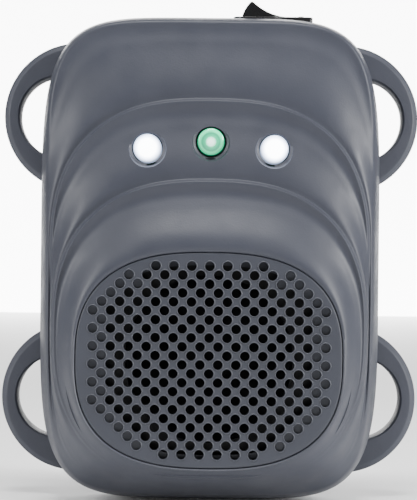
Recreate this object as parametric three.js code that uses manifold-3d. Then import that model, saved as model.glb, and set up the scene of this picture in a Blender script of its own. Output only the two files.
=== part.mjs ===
// Wall-hung electronic caller: a stepped plastic case with a speaker, three lamps, a rocker switch,
// a hinged battery door and four mounting loops.
//
// Millimetres, +Z up, +X to the right as the front is seen. The front faces -Y and the back plane is
// y = 0. "Depth" below is the distance in front of the back plane, so depth = -y. Shapes are drawn
// about the middle of the case; the last group moves them so that the origin lies on the back plane
// between the two upper mounting loops, where the unit hangs.

import * as THREE from "three";
import { mergeVertices } from "three/addons/utils/BufferGeometryUtils.js";
import Module from "manifold-3d";

const wasm = await Module();
wasm.setup();

// ---------------------------------------------------------------- driving dimensions

const caseWidth = 75;
const caseHeight = 106.6;
const caseSquareness = 5; // exponent of the outline: 2 is an ellipse, higher is squarer
const wall = 2;
const backWall = 2.4;
const seamDepth = 14; // the two shells meet here
const seamGap = 0.3;
const backEdgeRound = 2.5;

// Front surface: three tiers, each one a slight dip, a ramp and a small step up to the next.
const rimLand = 0.8;
const wallSlope = 6.5; // rise of the side wall per millimetre inwards
const wallRound = 5;
const tierBase = 25;
const tierRamps = [3.3, 3.7, 5.4];
const tierStep = 1.3;
const tierStepRun = 1.1;
const tierDip = 0.35;
const chinBase = 26.5; // the sloping chin below the speaker
const chinSlope = 1.45;
const chinRelease = { z: -40, slope: 0.6 };
const faceThickness = 2.2;
const chinThickness = 2.4;
const faceDepth = tierBase + tierRamps[0] + tierRamps[1] + tierRamps[2] + 2 * tierStep;

const grilleWidth = 55.8;
const grilleHeight = 45;
const grilleSquareness = 2.6;
const grilleZ = -21.3;
const grilleThickness = 1.8;
const grilleSeat = 2.6; // width of the ledge that carries the grille
const grilleFit = 0.2;
const holePitch = 3.75;
const holeDiameter = 2;
const holeSides = 4;

const loopRadius = 16.8;
const loopHoleRadius = 9.1;
const loopInset = 7.5; // from the case's side to the loop's centre
const loopX = caseWidth / 2 - loopInset;
const loopHoleInset = 3.3;
const loopHoleX = caseWidth / 2 - loopHoleInset;
const loopDrop = 21.7; // from the case's top to the loop's centre
const loopZ = caseHeight / 2 - loopDrop;
const loopThickness = 7;
const loopBevel = 1.2;

const cellDiameter = 14.5;
const cellLength = 50.5;
const cellPitch = 15;
const cellCount = 3;
const cellDepth = 10.2;
const cellsZ = -11.7;
const cellShift = 1.4; // each cell sits this far towards its positive contact
const trayWall = 1.2;
const contactThickness = 0.4;

const doorThickness = 1.6;
const doorWidth = 50;
const doorTop = 25;
const doorGap = 0.3;
const hingeRadius = 2.4;
const hingeZ = -45.2;
const pinRadius = 0.8;
const pinFit = 0.09;

const boardDepth = 20;
const boardThickness = 1.6;
const boardWidth = 62;
const boardBottom = -12;
const boardTop = 40;

const lampX = 13.6;
const lampZ = 23.5;
const indicatorZ = 24.9;
const lampRadius = 3.05;
const lampFit = 0.25;
const lampDishRadius = 3.9;
const lampDishDepth = 0.9;

const switchX = 13.6;
const switchDepth = 7.3;
const bezelStand = 0.7; // height of the bezel's top face above the case
const switchTop = caseHeight / 2 + bezelStand;
const rockerReach = 7.15; // radius of the rocker's end faces about its pivot
const rockerThickness = 8;
const rockerPivotDrop = 1.6;
const rockerTilt = 16;
const rockerPeakAngle = 58;
const rockerDish = 1.5;
const rockerFit = 0.3;

const caseScrewInset = { x: 9.5, z: 9.8 }; // from the case's sides and ends
const caseScrewX = caseWidth / 2 - caseScrewInset.x;
const caseScrewZ = caseHeight / 2 - caseScrewInset.z;
const caseBossRadius = 4;
const speakerRadius = 19;
const touch = 0.1; // gap left between pieces that rest on each other

const flatTolerance = 0.01; // points that stand out less than this are dropped
const smooth = 44; // sides of the case outline
const round = 18; // sides of a plain cylinder

// ---------------------------------------------------------------- curves and the front surface

const outline = {
  a: caseWidth / 2,
  top: caseHeight / 2,
  bottom: caseHeight / 2,
  n: caseSquareness,
  nLow: caseSquareness,
  z: 0,
};
const crestOne = { a: 34.5, top: 34.5, bottom: 49, n: 2.6, nLow: 5, z: 0 };
const crestTwo = { a: 33.55, top: 32.2, bottom: 32.6, n: 2.5, nLow: 2.6, z: -15.2 };
const grilleEdge = {
  a: grilleWidth / 2,
  top: grilleHeight / 2,
  bottom: grilleHeight / 2,
  n: grilleSquareness,
  nLow: grilleSquareness,
  z: grilleZ,
};

/** The same closed curve, moved inwards by a distance. */
function shrink(curve, by) {
  return { ...curve, a: curve.a - by, top: curve.top - by, bottom: curve.bottom - by };
}

/** Point of a closed curve in the direction of an angle about its own middle. */
function curvePoint(curve, angle) {
  const c = Math.cos(angle);
  const s = Math.sin(angle);
  const b = s < 0 ? curve.bottom : curve.top;
  const n = s < 0 ? curve.nLow : curve.n;
  const r = (Math.abs(c / curve.a) ** n + Math.abs(s / b) ** n) ** (-1 / n);
  return new THREE.Vector2(r * c, curve.z + r * s);
}

function curvePoints(curve, count = smooth) {
  return Array.from({ length: count }, (_, i) => curvePoint(curve, (2 * Math.PI * i) / count));
}

/** Distance inside a closed curve, to first order; negative outside. */
function inside(curve, x, z) {
  const dz = z - curve.z;
  const b = dz < 0 ? curve.bottom : curve.top;
  const n = dz < 0 ? curve.nLow : curve.n;
  const rho = (Math.abs(x / curve.a) ** n + Math.abs(dz / b) ** n) ** (1 / n);
  if (rho < 0.05) {
    return Math.min(curve.a, b);
  }
  const gx = Math.abs(x) ** (n - 1) / curve.a ** n;
  const gz = Math.abs(dz) ** (n - 1) / b ** n;
  return (1 - rho) / (rho ** (1 - n) * Math.hypot(gx, gz));
}

function smoothStep(t) {
  const u = THREE.MathUtils.clamp(t, 0, 1);
  return u * u * (3 - 2 * u);
}

/** Lower of two heights, with the corner between them rounded over k. */
function softMin(a, b, k) {
  const h = THREE.MathUtils.clamp(0.5 + (0.5 * (b - a)) / k, 0, 1);
  return b + (a - b) * h - k * h * (1 - h);
}

/** One tier's rise: a slight dip behind its crest, then a ramp that flattens before the next. */
function tierRise(u, ramp) {
  const dip = (1 - Math.cos(2 * Math.PI * Math.min(u / 0.36, 1))) / 2;
  return ramp * smoothStep((u - 0.18) / 0.77) - tierDip * dip;
}

/** Depth of the front surface, or of the inner one when wall and face thicknesses are given. */
function frontDepth(x, z, wallBy = 0, faceBy = 0, chinBy = 0) {
  const edge = Math.max(inside(outline, x, z), 0);
  const one = inside(crestOne, x, z);
  const two = inside(crestTwo, x, z);
  const three = inside(grilleEdge, x, z);
  const u0 = one > 0 ? 1 : edge / (edge - one + 1e-6);
  const u1 = two > 0 ? 1 : Math.max(one, 0) / (Math.max(one, 0) - two + 1e-6);
  const u2 = three > 0 ? 1 : Math.max(two, 0) / (Math.max(two, 0) - three + 1e-6);
  let face = tierBase + tierRise(u0, tierRamps[0]) + tierRise(u1, tierRamps[1]) + tierRise(u2, tierRamps[2]);
  face += tierStep * (smoothStep(one / tierStepRun) + smoothStep(two / tierStepRun));
  const release = chinRelease.slope * Math.max(z - chinRelease.z, 0);
  const chin = chinBase + chinSlope * edge + release - chinBy;
  const side = seamDepth + seamGap / 2 + rimLand + wallSlope * (edge - wallBy);
  return softMin(softMin(face - faceBy, chin, wallRound), side, wallRound);
}

// ---------------------------------------------------------------- solids

/** Closed mesh to a solid for cutting and joining. */
function solid(geometry) {
  const bare = geometry.clone();
  bare.deleteAttribute("normal");
  bare.deleteAttribute("uv");
  const merged = mergeVertices(bare, 1e-4);
  return new wasm.Manifold(
    new wasm.Mesh({
      numProp: 3,
      vertProperties: Float32Array.from(merged.attributes.position.array),
      triVerts: Uint32Array.from(merged.index.array),
    }),
  );
}

/** Solid back to a mesh geometry. */
function meshed(manifold) {
  const data = manifold.simplify(flatTolerance).getMesh();
  const geometry = new THREE.BufferGeometry();
  geometry.setAttribute("position", new THREE.BufferAttribute(Float32Array.from(data.vertProperties), 3));
  geometry.setIndex(new THREE.BufferAttribute(Uint32Array.from(data.triVerts), 1));
  geometry.computeVertexNormals();
  return geometry;
}

function join(first, ...rest) {
  return rest.reduce((sum, next) => sum.add(next), first);
}

function cut(first, ...rest) {
  return rest.reduce((sum, next) => sum.subtract(next), first);
}

/** Flat outline in X and Z, given thickness from one depth to a greater one. */
function plate(points, near, far, holes = []) {
  const shape = new THREE.Shape(points);
  shape.holes = holes.map((hole) => new THREE.Path(hole));
  const geometry = new THREE.ExtrudeGeometry(shape, { depth: far - near, bevelEnabled: false });
  geometry.translate(0, 0, near);
  geometry.rotateX(Math.PI / 2);
  return geometry;
}

/** Rectangle in X and Z with rounded corners. */
function rectangle(x0, x1, z0, z1, r = 0) {
  if (r === 0) {
    return [
      new THREE.Vector2(x0, z0),
      new THREE.Vector2(x1, z0),
      new THREE.Vector2(x1, z1),
      new THREE.Vector2(x0, z1),
    ];
  }
  const corners = [
    [x1 - r, z1 - r, 0],
    [x0 + r, z1 - r, 1],
    [x0 + r, z0 + r, 2],
    [x1 - r, z0 + r, 3],
  ];
  const steps = 4;
  return corners.flatMap(([cx, cz, quarter]) =>
    Array.from({ length: steps + 1 }, (_, i) => {
      const angle = ((quarter + i / steps) * Math.PI) / 2;
      return new THREE.Vector2(cx + r * Math.cos(angle), cz + r * Math.sin(angle));
    }),
  );
}

/** Box between two corners given as x, depth, z. */
function block(x0, x1, near, far, z0, z1) {
  const geometry = new THREE.BoxGeometry(x1 - x0, far - near, z1 - z0);
  geometry.translate((x0 + x1) / 2, -(near + far) / 2, (z0 + z1) / 2);
  return geometry;
}

/** The faces turned outwards if the closed mesh came out inside out. */
function facingOut(geometry) {
  const point = geometry.attributes.position;
  const index = geometry.index.array;
  const corner = [0, 1, 2].map(() => new THREE.Vector3());
  let volume = 0;
  for (let i = 0; i < index.length; i += 3) {
    corner.forEach((v, k) => v.fromBufferAttribute(point, index[i + k]));
    volume += corner[0].dot(corner[1].clone().cross(corner[2]));
  }
  if (volume < 0) {
    for (let i = 0; i < index.length; i += 3) {
      [index[i], index[i + 1]] = [index[i + 1], index[i]];
    }
  }
  geometry.computeVertexNormals();
  return geometry;
}

/** Turned piece about a line along the depth: profile of [radius, depth] that starts and ends on it. */
function turned(profile, x = 0, z = 0, sides = round) {
  const points = profile.map(([r, depth]) => new THREE.Vector2(r, depth));
  const geometry = new THREE.LatheGeometry(points, sides);
  geometry.rotateZ(Math.PI);
  geometry.translate(x, 0, z);
  return facingOut(geometry);
}

/** Plain disc or rod along the depth. */
function disc(r, near, far, x = 0, z = 0, sides = round) {
  const geometry = new THREE.CylinderGeometry(r, r, far - near, sides);
  geometry.translate(x, -(near + far) / 2, z);
  return geometry;
}

/** Rod along X. */
function rodX(r, x0, x1, depth, z, sides = round) {
  const geometry = new THREE.CylinderGeometry(r, r, x1 - x0, sides);
  geometry.rotateZ(Math.PI / 2);
  geometry.translate((x0 + x1) / 2, -depth, z);
  return geometry;
}

/** Discs at x and -x, with the same radius, depths and height. */
function discPair(x, z, r, near, far, sides = 12) {
  return [-x, x].map((side) => solid(disc(r, near, far, side, z, sides)));
}

/** Closed skin through rings of equal count, with a fan over each end. */
function loft(rings) {
  const count = rings[0].length;
  const points = rings.flat();
  const index = [];
  for (let k = 0; k + 1 < rings.length; k += 1) {
    for (let i = 0; i < count; i += 1) {
      const a = k * count + i;
      const b = k * count + ((i + 1) % count);
      index.push(a, b, b + count, a, b + count, a + count);
    }
  }
  [rings[0], rings[rings.length - 1]].forEach((ring, end) => {
    const middle = new THREE.Vector3();
    ring.forEach((v) => middle.addScaledVector(v, 1 / count));
    const start = end === 0 ? 0 : (rings.length - 1) * count;
    points.push(middle);
    for (let i = 0; i < count; i += 1) {
      const a = start + i;
      const b = start + ((i + 1) % count);
      index.push(...(end === 0 ? [b, a, points.length - 1] : [a, b, points.length - 1]));
    }
  });
  const geometry = new THREE.BufferGeometry();
  geometry.setAttribute("position", new THREE.Float32BufferAttribute(points.flatMap((v) => v.toArray()), 3));
  geometry.setIndex(index);
  return facingOut(geometry);
}

/** Ring of a closed curve at one depth. */
function ringAt(curve, depth) {
  return curvePoints(curve).map((p) => new THREE.Vector3(p.x, -depth, p.y));
}

/** Rings across the front, laid along the crests so that the steps stay crisp. */
function frontRings(rim, bands, thin = []) {
  const stepOne = shrink(crestOne, tierStepRun);
  const stepTwo = shrink(crestTwo, tierStepRun);
  const ends = { rim, crestOne, stepOne, crestTwo, stepTwo, grilleEdge };
  return bands.flatMap(([from, to, shares]) =>
    shares.map((share) =>
      curvePoints(ends[from]).map((p, i) => {
        const q = p.clone().lerp(curvePoint(ends[to], (2 * Math.PI * i) / smooth), share);
        return new THREE.Vector3(q.x, -frontDepth(q.x, q.y, ...thin), q.y);
      }),
    ),
  );
}

const outerBands = [
  ["rim", "crestOne", [0, 0.06, 0.16, 0.35, 0.65, 0.95]],
  ["crestOne", "stepOne", [0, 1]],
  ["stepOne", "crestTwo", [0.3, 0.65, 0.95]],
  ["crestTwo", "stepTwo", [0, 1]],
  ["stepTwo", "grilleEdge", [0.35, 0.7, 1]],
];
const innerBands = [
  ["rim", "crestOne", [0, 0.14, 0.5]],
  ["crestOne", "crestTwo", [0, 0.5]],
  ["crestTwo", "grilleEdge", [0, 0.5, 1]],
];

/** Screw along the depth with its head towards the back: head from `near`, shank to `far`. */
function screwShape(headRadius, headHeight, shankRadius, length) {
  return turned(
    [
      [0, 0],
      [headRadius - 0.4, 0],
      [headRadius, 0.4],
      [headRadius, headHeight],
      [shankRadius, headHeight],
      [shankRadius, length - shankRadius],
      [0, length],
    ],
    0,
    0,
    12,
  );
}

/** Round wire along a smooth curve through [x, depth, z] points. */
function wire(points, radius = 0.6, stepsEach = 3) {
  const path = new THREE.CatmullRomCurve3(points.map(([x, depth, z]) => new THREE.Vector3(x, -depth, z)));
  const section = new THREE.Shape();
  const sides = 5;
  for (let i = 0; i < sides; i += 1) {
    const angle = (2 * Math.PI * i) / sides;
    const step = i === 0 ? "moveTo" : "lineTo";
    section[step](radius * Math.cos(angle), radius * Math.sin(angle));
  }
  const steps = stepsEach * points.length;
  return new THREE.ExtrudeGeometry(section, { steps, extrudePath: path, bevelEnabled: false });
}

// ---------------------------------------------------------------- materials

function finish(color, roughness, metalness = 0) {
  return new THREE.MeshStandardMaterial({ color, roughness, metalness });
}

const finishes = {
  shell: finish(0x62666f, 0.55),
  grille: finish(0x5d616a, 0.5),
  black: finish(0x0b0c0e, 0.35),
  rubber: finish(0x17181a, 0.9),
  steel: finish(0xb9bcc0, 0.3, 1),
  brass: finish(0xb08d4a, 0.35, 1),
  cell: finish(0x2d4a3a, 0.35),
  tray: finish(0x1d1f22, 0.6),
  board: finish(0x1e5b34, 0.5),
  chip: finish(0x101112, 0.6),
  copper: finish(0x9c5a2a, 0.4, 1),
  can: finish(0x1d2740, 0.35),
  plug: finish(0xe6e0d0, 0.5),
  whiteLamp: finish(0xf4f6ff, 0.1),
  greenLamp: finish(0x23c98a, 0.1),
  cone: finish(0xc9b98f, 0.7),
  red: finish(0xa01c1c, 0.5),
};

const unit = new THREE.Group();

/** Adds a piece under its own name; it may be a geometry or a solid. */
function add(name, shape, material, place = {}) {
  const geometry = shape instanceof THREE.BufferGeometry ? shape : meshed(shape);
  const mesh = new THREE.Mesh(geometry, material);
  mesh.name = name;
  mesh.position.set(place.x ?? 0, -(place.depth ?? 0), place.z ?? 0);
  unit.add(mesh);
  return mesh;
}

/** Both signs of X and of Z about a middle height: the four corners, left first, top first. */
function corners(x, z, middle = 0) {
  return [
    [-x, middle + z],
    [x, middle + z],
    [-x, middle - z],
    [x, middle - z],
  ];
}

// ---------------------------------------------------------------- places shared by several pieces

const openingWidth = doorWidth + 2 * doorGap;
const openingTop = doorTop + doorGap;
const openingBottom = hingeZ - hingeRadius - doorGap - 0.05;
const trayFlangeDepth = backWall + touch;
const trayFlangeThickness = 1.2;
const cellSpan = (cellCount - 1) * cellPitch + cellDiameter;
const trayInnerX = cellSpan / 2 + 1;
const springRoom = 4.6;
const knobRoom = 2.3;
const trayInnerTop = cellsZ + (cellLength + springRoom + knobRoom) / 2;
const trayInnerBottom = cellsZ - (cellLength + springRoom + knobRoom) / 2;
const trayFloorDepth = cellDepth + cellDiameter / 2 + 0.35;
const trayBackDepth = trayFloorDepth + trayWall;
const doorScrewZ = trayInnerTop + trayWall + 3.4;
const trayEarX = 30;
const trayEarDepth = 10;
const trayEarThickness = 1.6;
const boardPostX = [28, 29.4];
const boardPostZ = [34, -3];
const switchHoleX = rockerReach + rockerFit;
const switchWall = 0.9;
const switchHoleY = rockerThickness / 2 + rockerFit;
const switchBodyX = switchHoleX + switchWall;
const switchBodyY = switchHoleY + switchWall;
const bezelLip = 0.5;
const bezelHeight = 1.2;
const switchFloor = switchTop - 12;
const pivotZ = switchTop - rockerPivotDrop;
const seatDepth = faceDepth - grilleThickness - touch;
const ledgeBack = seatDepth - 1.6;
const speakerBossX = 24;
const speakerBossZ = 18.3;
const foamThickness = 2;
const speakerPlateFront = ledgeBack - foamThickness - 2 * touch;
const speakerPlateThickness = 1.6;
const speakerCorners = corners(speakerBossX, speakerBossZ, grilleZ).slice(0, 2);
const screwFit = 0.15;

// ---------------------------------------------------------------- case

function frontShell() {
  const rimDepth = seamDepth + seamGap / 2;
  const outer = solid(loft([ringAt(outline, rimDepth), ...frontRings(outline, outerBands)]));
  const rimInside = shrink(outline, wall);
  const inner = solid(
    loft([
      ringAt(rimInside, rimDepth - 1),
      ...frontRings(rimInside, innerBands, [wall, faceThickness, chinThickness]),
    ]),
  );
  const ledge = solid(plate(curvePoints(shrink(grilleEdge, -2.5)), ledgeBack, faceDepth - 1)).intersect(outer);
  const bosses = corners(caseScrewX, caseScrewZ).map(([x, z]) =>
    solid(disc(3.2, rimDepth, frontDepth(x, z), x, z, 16)).intersect(outer),
  );
  const speakerBosses = speakerCorners.map(([x, z]) =>
    solid(disc(2.4, speakerPlateFront + touch, frontDepth(x, z), x, z, 12)).intersect(outer),
  );
  const lampPlaces = [
    [-lampX, lampZ],
    [0, indicatorZ],
    [lampX, lampZ],
  ];
  const lampHoles = lampPlaces.map(([x, z]) => {
    const level = frontDepth(x, z);
    const hole = solid(disc(lampRadius + lampFit, level - 8, level + 4, x, z));
    return hole.add(solid(disc(lampDishRadius, level - lampDishDepth, level + 4, x, z)));
  });
  return cut(
    join(cut(outer, inner), ledge, ...bosses, ...speakerBosses),
    solid(plate(curvePoints(shrink(grilleEdge, -grilleFit)), seatDepth, faceDepth + 2)),
    solid(plate(curvePoints(shrink(grilleEdge, grilleSeat)), ledgeBack - 8, faceDepth)),
    ...lampHoles,
    ...corners(caseScrewX, caseScrewZ).map(([x, z]) =>
      solid(disc(1.3 + screwFit, rimDepth - 1, rimDepth + 8, x, z, 12)),
    ),
    ...speakerCorners.map(([x, z]) =>
      solid(disc(0.9 + screwFit, speakerPlateFront - 1, speakerPlateFront + 3.4, x, z, 12)),
    ),
  );
}

function rearShell() {
  const rimDepth = seamDepth - seamGap / 2;
  const edge = [0, 1, 2, 3].map((i) => {
    const angle = (i / 3) * (Math.PI / 2);
    const inset = backEdgeRound * (1 - Math.sin(angle));
    return ringAt(shrink(outline, inset), backEdgeRound * (1 - Math.cos(angle)));
  });
  const body = solid(loft([...edge, ringAt(outline, rimDepth)]));
  const loops = corners(loopX, loopZ).map(([x, z]) => {
    const ring = solid(
      turned(
        [
          [0, 0],
          [loopRadius - 0.5, 0],
          [loopRadius, 0.5],
          [loopRadius, loopThickness - loopBevel],
          [loopRadius - loopBevel, loopThickness],
          [0, loopThickness],
        ],
        x,
        z,
        36,
      ),
    );
    return ring.subtract(solid(disc(loopHoleRadius, -1, loopThickness + 1, Math.sign(x) * loopHoleX, z, 24)));
  });
  const cavity = solid(plate(curvePoints(shrink(outline, wall + 0.4)), backWall, rimDepth + 1));
  const bosses = corners(caseScrewX, caseScrewZ).map(([x, z]) =>
    solid(disc(caseBossRadius, backWall - 1, rimDepth, x, z, 16)),
  );
  const trayPosts = discPair(trayEarX, cellsZ, 2.4, backWall - 1, trayEarDepth - touch);
  const boardPosts = [0, 1].flatMap((k) =>
    discPair(boardPostX[k], boardPostZ[k], 2.6, backWall - 1, boardDepth - touch),
  );
  const lugHalf = hingeRadius + doorGap + 2;
  const lugs = hingeSpans().lugs.map(([x0, x1]) =>
    solid(block(x0, x1, 0.3, 2 * hingeRadius, openingBottom - 1, hingeZ + 1.7)).subtract(
      solid(rodX(pinRadius + pinFit, x0 - 1, x1 + 1, hingeRadius, hingeZ)),
    ),
  );
  const opening = rectangle(-openingWidth / 2, openingWidth / 2, openingBottom, openingTop, 1);
  const holes = [
    ...corners(caseScrewX, caseScrewZ).flatMap(([x, z]) => [
      solid(disc(3, -1, 8, x, z, 16)),
      solid(disc(1.3 + screwFit, 7, seamDepth + 1, x, z, 12)),
    ]),
    ...discPair(trayEarX, cellsZ, 0.9 + screwFit, 5, trayEarDepth + 1),
    ...[0, 1].flatMap((k) =>
      discPair(boardPostX[k], boardPostZ[k], 0.9 + screwFit, 14, boardDepth + 1),
    ),
    solid(
      block(
        switchX - switchBodyX - touch,
        switchX + switchBodyX + touch,
        switchDepth - switchBodyY - touch,
        switchDepth + switchBodyY + touch,
        switchFloor - touch,
        switchTop + 5,
      ),
    ),
    solid(
      block(
        switchX - switchBodyX - bezelLip - touch,
        switchX + switchBodyX + bezelLip + touch,
        switchDepth - switchBodyY - bezelLip - touch,
        switchDepth + switchBodyY + bezelLip + touch,
        switchTop - bezelHeight - touch,
        switchTop + 5,
      ),
    ),
  ];
  const groove = solid(
    plate(curvePoints(shrink(outline, 0.7)), rimDepth - 0.7, rimDepth + 1, [
      curvePoints(shrink(outline, 1.8)).reverse(),
    ]),
  );
  const shell = cut(join(body, ...loops), cavity);
  const posts = [...bosses, ...trayPosts, ...boardPosts];
  const opened = cut(join(shell, ...posts), solid(plate(opening, -1, backWall + 1)));
  return cut(join(opened, ...lugs), groove, ...holes);
}

/** Stretches along X of the door's barrels and of the shell's lugs between them. */
function hingeSpans() {
  const barrel = [8, 20];
  const gap = doorGap + 0.1;
  return {
    barrels: [
      [-barrel[1], -barrel[0]],
      [barrel[0], barrel[1]],
    ],
    lugs: [
      [-openingWidth / 2 - 0.5, -barrel[1] - gap],
      [-barrel[0] + gap, barrel[0] - gap],
      [barrel[1] + gap, openingWidth / 2 + 0.5],
    ],
  };
}

function gasket() {
  const near = seamDepth - seamGap / 2 - 0.6;
  const inner = curvePoints(shrink(outline, 1.65)).reverse();
  return plate(curvePoints(shrink(outline, 0.85)), near, seamDepth + seamGap / 2 - 0.05, [inner]);
}

function grillePlate() {
  const rows = 22;
  const counts = [7, 8, 7, 10, 11, 12, 11, 12, 11, 12, 11, 12, 11, 12, 11, 12, 11, 10, 9, 8, 7, 6];
  const holes = [];
  for (let row = 0; row < rows; row += 1) {
    const z = grilleZ + ((rows - 1) / 2 - row) * (holePitch / 2);
    for (let i = 0; i < counts[row]; i += 1) {
      const x = (i - (counts[row] - 1) / 2) * holePitch;
      holes.push(
        Array.from({ length: holeSides }, (_, k) => {
          const angle = -(2 * Math.PI * k) / holeSides;
          const r = holeDiameter / 2;
          return new THREE.Vector2(x + r * Math.cos(angle), z + r * Math.sin(angle));
        }),
      );
    }
  }
  return plate(curvePoints(grilleEdge), faceDepth - grilleThickness, faceDepth, holes);
}

add("front_shell", frontShell(), finishes.shell);
add("rear_shell", rearShell(), finishes.shell);
add("case_gasket", gasket(), finishes.rubber);
add("speaker_grille", grillePlate(), finishes.grille);
corners(caseScrewX, caseScrewZ).forEach(([x, z], i) => {
  add(`case_screw_${i + 1}`, screwShape(2.6, 1.8, 1.3, 13), finishes.steel, { x, z, depth: 6.1 });
});

// ---------------------------------------------------------------- battery door

function door() {
  const spans = hingeSpans();
  const panel = rectangle(-doorWidth / 2, doorWidth / 2, hingeZ, doorTop, 0.7);
  const reliefs = spans.lugs.map(([x0, x1]) =>
    solid(block(x0 - doorGap - 0.1, x1 + doorGap + 0.1, -1, doorThickness + 1, hingeZ - 1, hingeZ + 3)),
  );
  const barrels = spans.barrels.map(([x0, x1]) => solid(rodX(hingeRadius, x0, x1, hingeRadius, hingeZ)));
  const bores = spans.barrels.map(([x0, x1]) =>
    solid(rodX(pinRadius + pinFit, x0 - 1, x1 + 1, hingeRadius, hingeZ)),
  );
  const grip = solid(plate(rectangle(-7, 7, doorTop - 1.6, doorTop + 1), -1, 0.7));
  return cut(
    join(cut(solid(plate(panel, 0, doorThickness)), ...reliefs), ...barrels),
    ...bores,
    grip,
    solid(disc(1.5 + screwFit, -1, doorThickness + 1, 0, doorScrewZ, 16)),
    solid(disc(2.9, -1, 0.8, 0, doorScrewZ, 16)),
  );
}

function doorSeal() {
  const half = doorWidth / 2 - 0.6;
  const low = hingeZ + hingeRadius + 1.4;
  const outer = rectangle(-half, half, low, doorScrewZ - 2.4, 1);
  const inner = rectangle(-half + 1, half - 1, low + 1, doorScrewZ - 3.4, 0.5).reverse();
  return plate(outer, doorThickness + touch, trayFlangeDepth - touch, [inner]);
}

const doorGroup = [
  ["battery_door", door(), finishes.shell],
  ["door_seal", doorSeal(), finishes.rubber],
];
doorGroup.forEach(([name, shape, material]) => add(name, shape, material));
add("door_hinge_pin", rodX(pinRadius, -24.6, 24.6, hingeRadius, hingeZ, 12), finishes.steel);
add("door_screw", screwShape(2.7, 0.6, 1.5, 7), finishes.steel, { z: doorScrewZ, depth: 0.15 });

// ---------------------------------------------------------------- battery tray, cells and contacts

function tray() {
  const flangeX = openingWidth / 2 + 1.2;
  const flangeLow = hingeZ + hingeRadius + 0.6;
  const near = trayFlangeDepth;
  const flangeOutline = rectangle(-flangeX, flangeX, flangeLow, openingTop + 1.6, 1);
  const flange = plate(flangeOutline, near, near + trayFlangeThickness);
  const box = block(
    -trayInnerX - trayWall,
    trayInnerX + trayWall,
    near,
    trayBackDepth,
    trayInnerBottom - trayWall,
    trayInnerTop + trayWall,
  );
  const boss = disc(2.6, near, near + 7, 0, doorScrewZ, 12);
  const ears = [-1, 1].map((side) =>
    solid(
      block(
        side < 0 ? -trayEarX - 2.4 : trayInnerX,
        side < 0 ? -trayInnerX : trayEarX + 2.4,
        trayEarDepth,
        trayEarDepth + trayEarThickness,
        cellsZ - 3,
        cellsZ + 3,
      ),
    ),
  );
  return cut(
    join(solid(flange), solid(box), solid(boss), ...ears),
    solid(block(-trayInnerX, trayInnerX, near - 1, trayFloorDepth, trayInnerBottom, trayInnerTop)),
    solid(disc(1.5 + 0.45, near - 1, near + 8, 0, doorScrewZ, 16)),
    ...discPair(trayEarX, cellsZ, 0.9 + screwFit, trayEarDepth - 1, trayEarDepth + 3),
    ...discPair(caseScrewX, -caseScrewZ, caseBossRadius + 0.3, near - 1, near + 3, 16),
  );
}

add("battery_tray", tray(), finishes.tray);
[-1, 1].forEach((side, i) => {
  const screw = screwShape(1.9, 1.2, 0.9, 6);
  screw.rotateX(Math.PI);
  const depth = trayEarDepth + trayEarThickness + 1.3;
  add(`tray_screw_${i + 1}`, screw, finishes.steel, { x: side * trayEarX, z: cellsZ, depth });
});

/** Cell along Z with its positive knob up, standing about its own middle. */
function cellShape() {
  const r = cellDiameter / 2;
  const half = cellLength / 2;
  const profile = [
    [0, -half],
    [r - 0.8, -half],
    [r, -half + 0.8],
    [r, half - 1.8],
    [r - 0.8, half - 1],
    [2.75, half - 1],
    [2.75, half],
    [0, half],
  ].map(([x, y]) => new THREE.Vector2(x, y));
  const geometry = new THREE.LatheGeometry(profile, 24);
  geometry.rotateX(Math.PI / 2);
  return facingOut(geometry);
}

const cellX = (i) => (i - (cellCount - 1) / 2) * cellPitch;
const cellUp = (i) => i % 2 === 0;
for (let i = 0; i < cellCount; i += 1) {
  const z = cellsZ + (cellUp(i) ? cellShift - 0.3 : 0.3 - cellShift);
  const cell = add(`battery_${i + 1}`, cellShape(), finishes.cell, { x: cellX(i), z, depth: cellDepth });
  cell.rotation.y = cellUp(i) ? 0 : Math.PI;
}

/** Conical spring along Z: it rises from a contact plate towards a cell. */
function springShape(x, baseZ, sign) {
  const turns = 3;
  const steps = 7; // to a turn
  const wireRadius = 0.35;
  const height = 3.4;
  const points = Array.from({ length: turns * steps + 1 }, (_, i) => {
    const share = i / (turns * steps);
    const angle = 2 * Math.PI * turns * share;
    const r = THREE.MathUtils.lerp(4.6, 2.6, share);
    const z = baseZ + sign * (0.1 + height * share);
    return [x + r * Math.cos(angle), cellDepth + r * Math.sin(angle), z];
  });
  return wire(points, wireRadius, 1);
}

/** Contact plate against one end wall, over the cells listed, with a spring or a pad for each. */
function contactShape(cells, atTop) {
  const sign = atTop ? -1 : 1;
  const wallZ = atTop ? trayInnerTop - touch : trayInnerBottom + touch;
  const faceZ = wallZ + sign * contactThickness;
  const x0 = cellX(cells[0]) - 5.6;
  const x1 = cellX(cells[cells.length - 1]) + 5.6;
  const [z0, z1] = [Math.min(wallZ, faceZ), Math.max(wallZ, faceZ)];
  const body = solid(block(x0, x1, cellDepth - 5.4, cellDepth + 5.4, z0, z1));
  const ends = cells.map((i) => {
    if (cellUp(i) === atTop) {
      const pad = new THREE.CylinderGeometry(2.2, 2.2, 0.8, 16);
      pad.rotateX(Math.PI / 2);
      pad.translate(cellX(i), -cellDepth, faceZ + sign * 0.3);
      return solid(pad);
    }
    return solid(springShape(cellX(i), faceZ, sign));
  });
  return join(body, ...ends);
}

add("contact_positive", contactShape([2], true), finishes.brass);
add("contact_bridge_top", contactShape([0, 1], true), finishes.steel);
add("contact_bridge_bottom", contactShape([1, 2], false), finishes.steel);
add("contact_negative", contactShape([0], false), finishes.steel);

// ---------------------------------------------------------------- board and what it carries

const boardFace = boardDepth + boardThickness;

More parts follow.
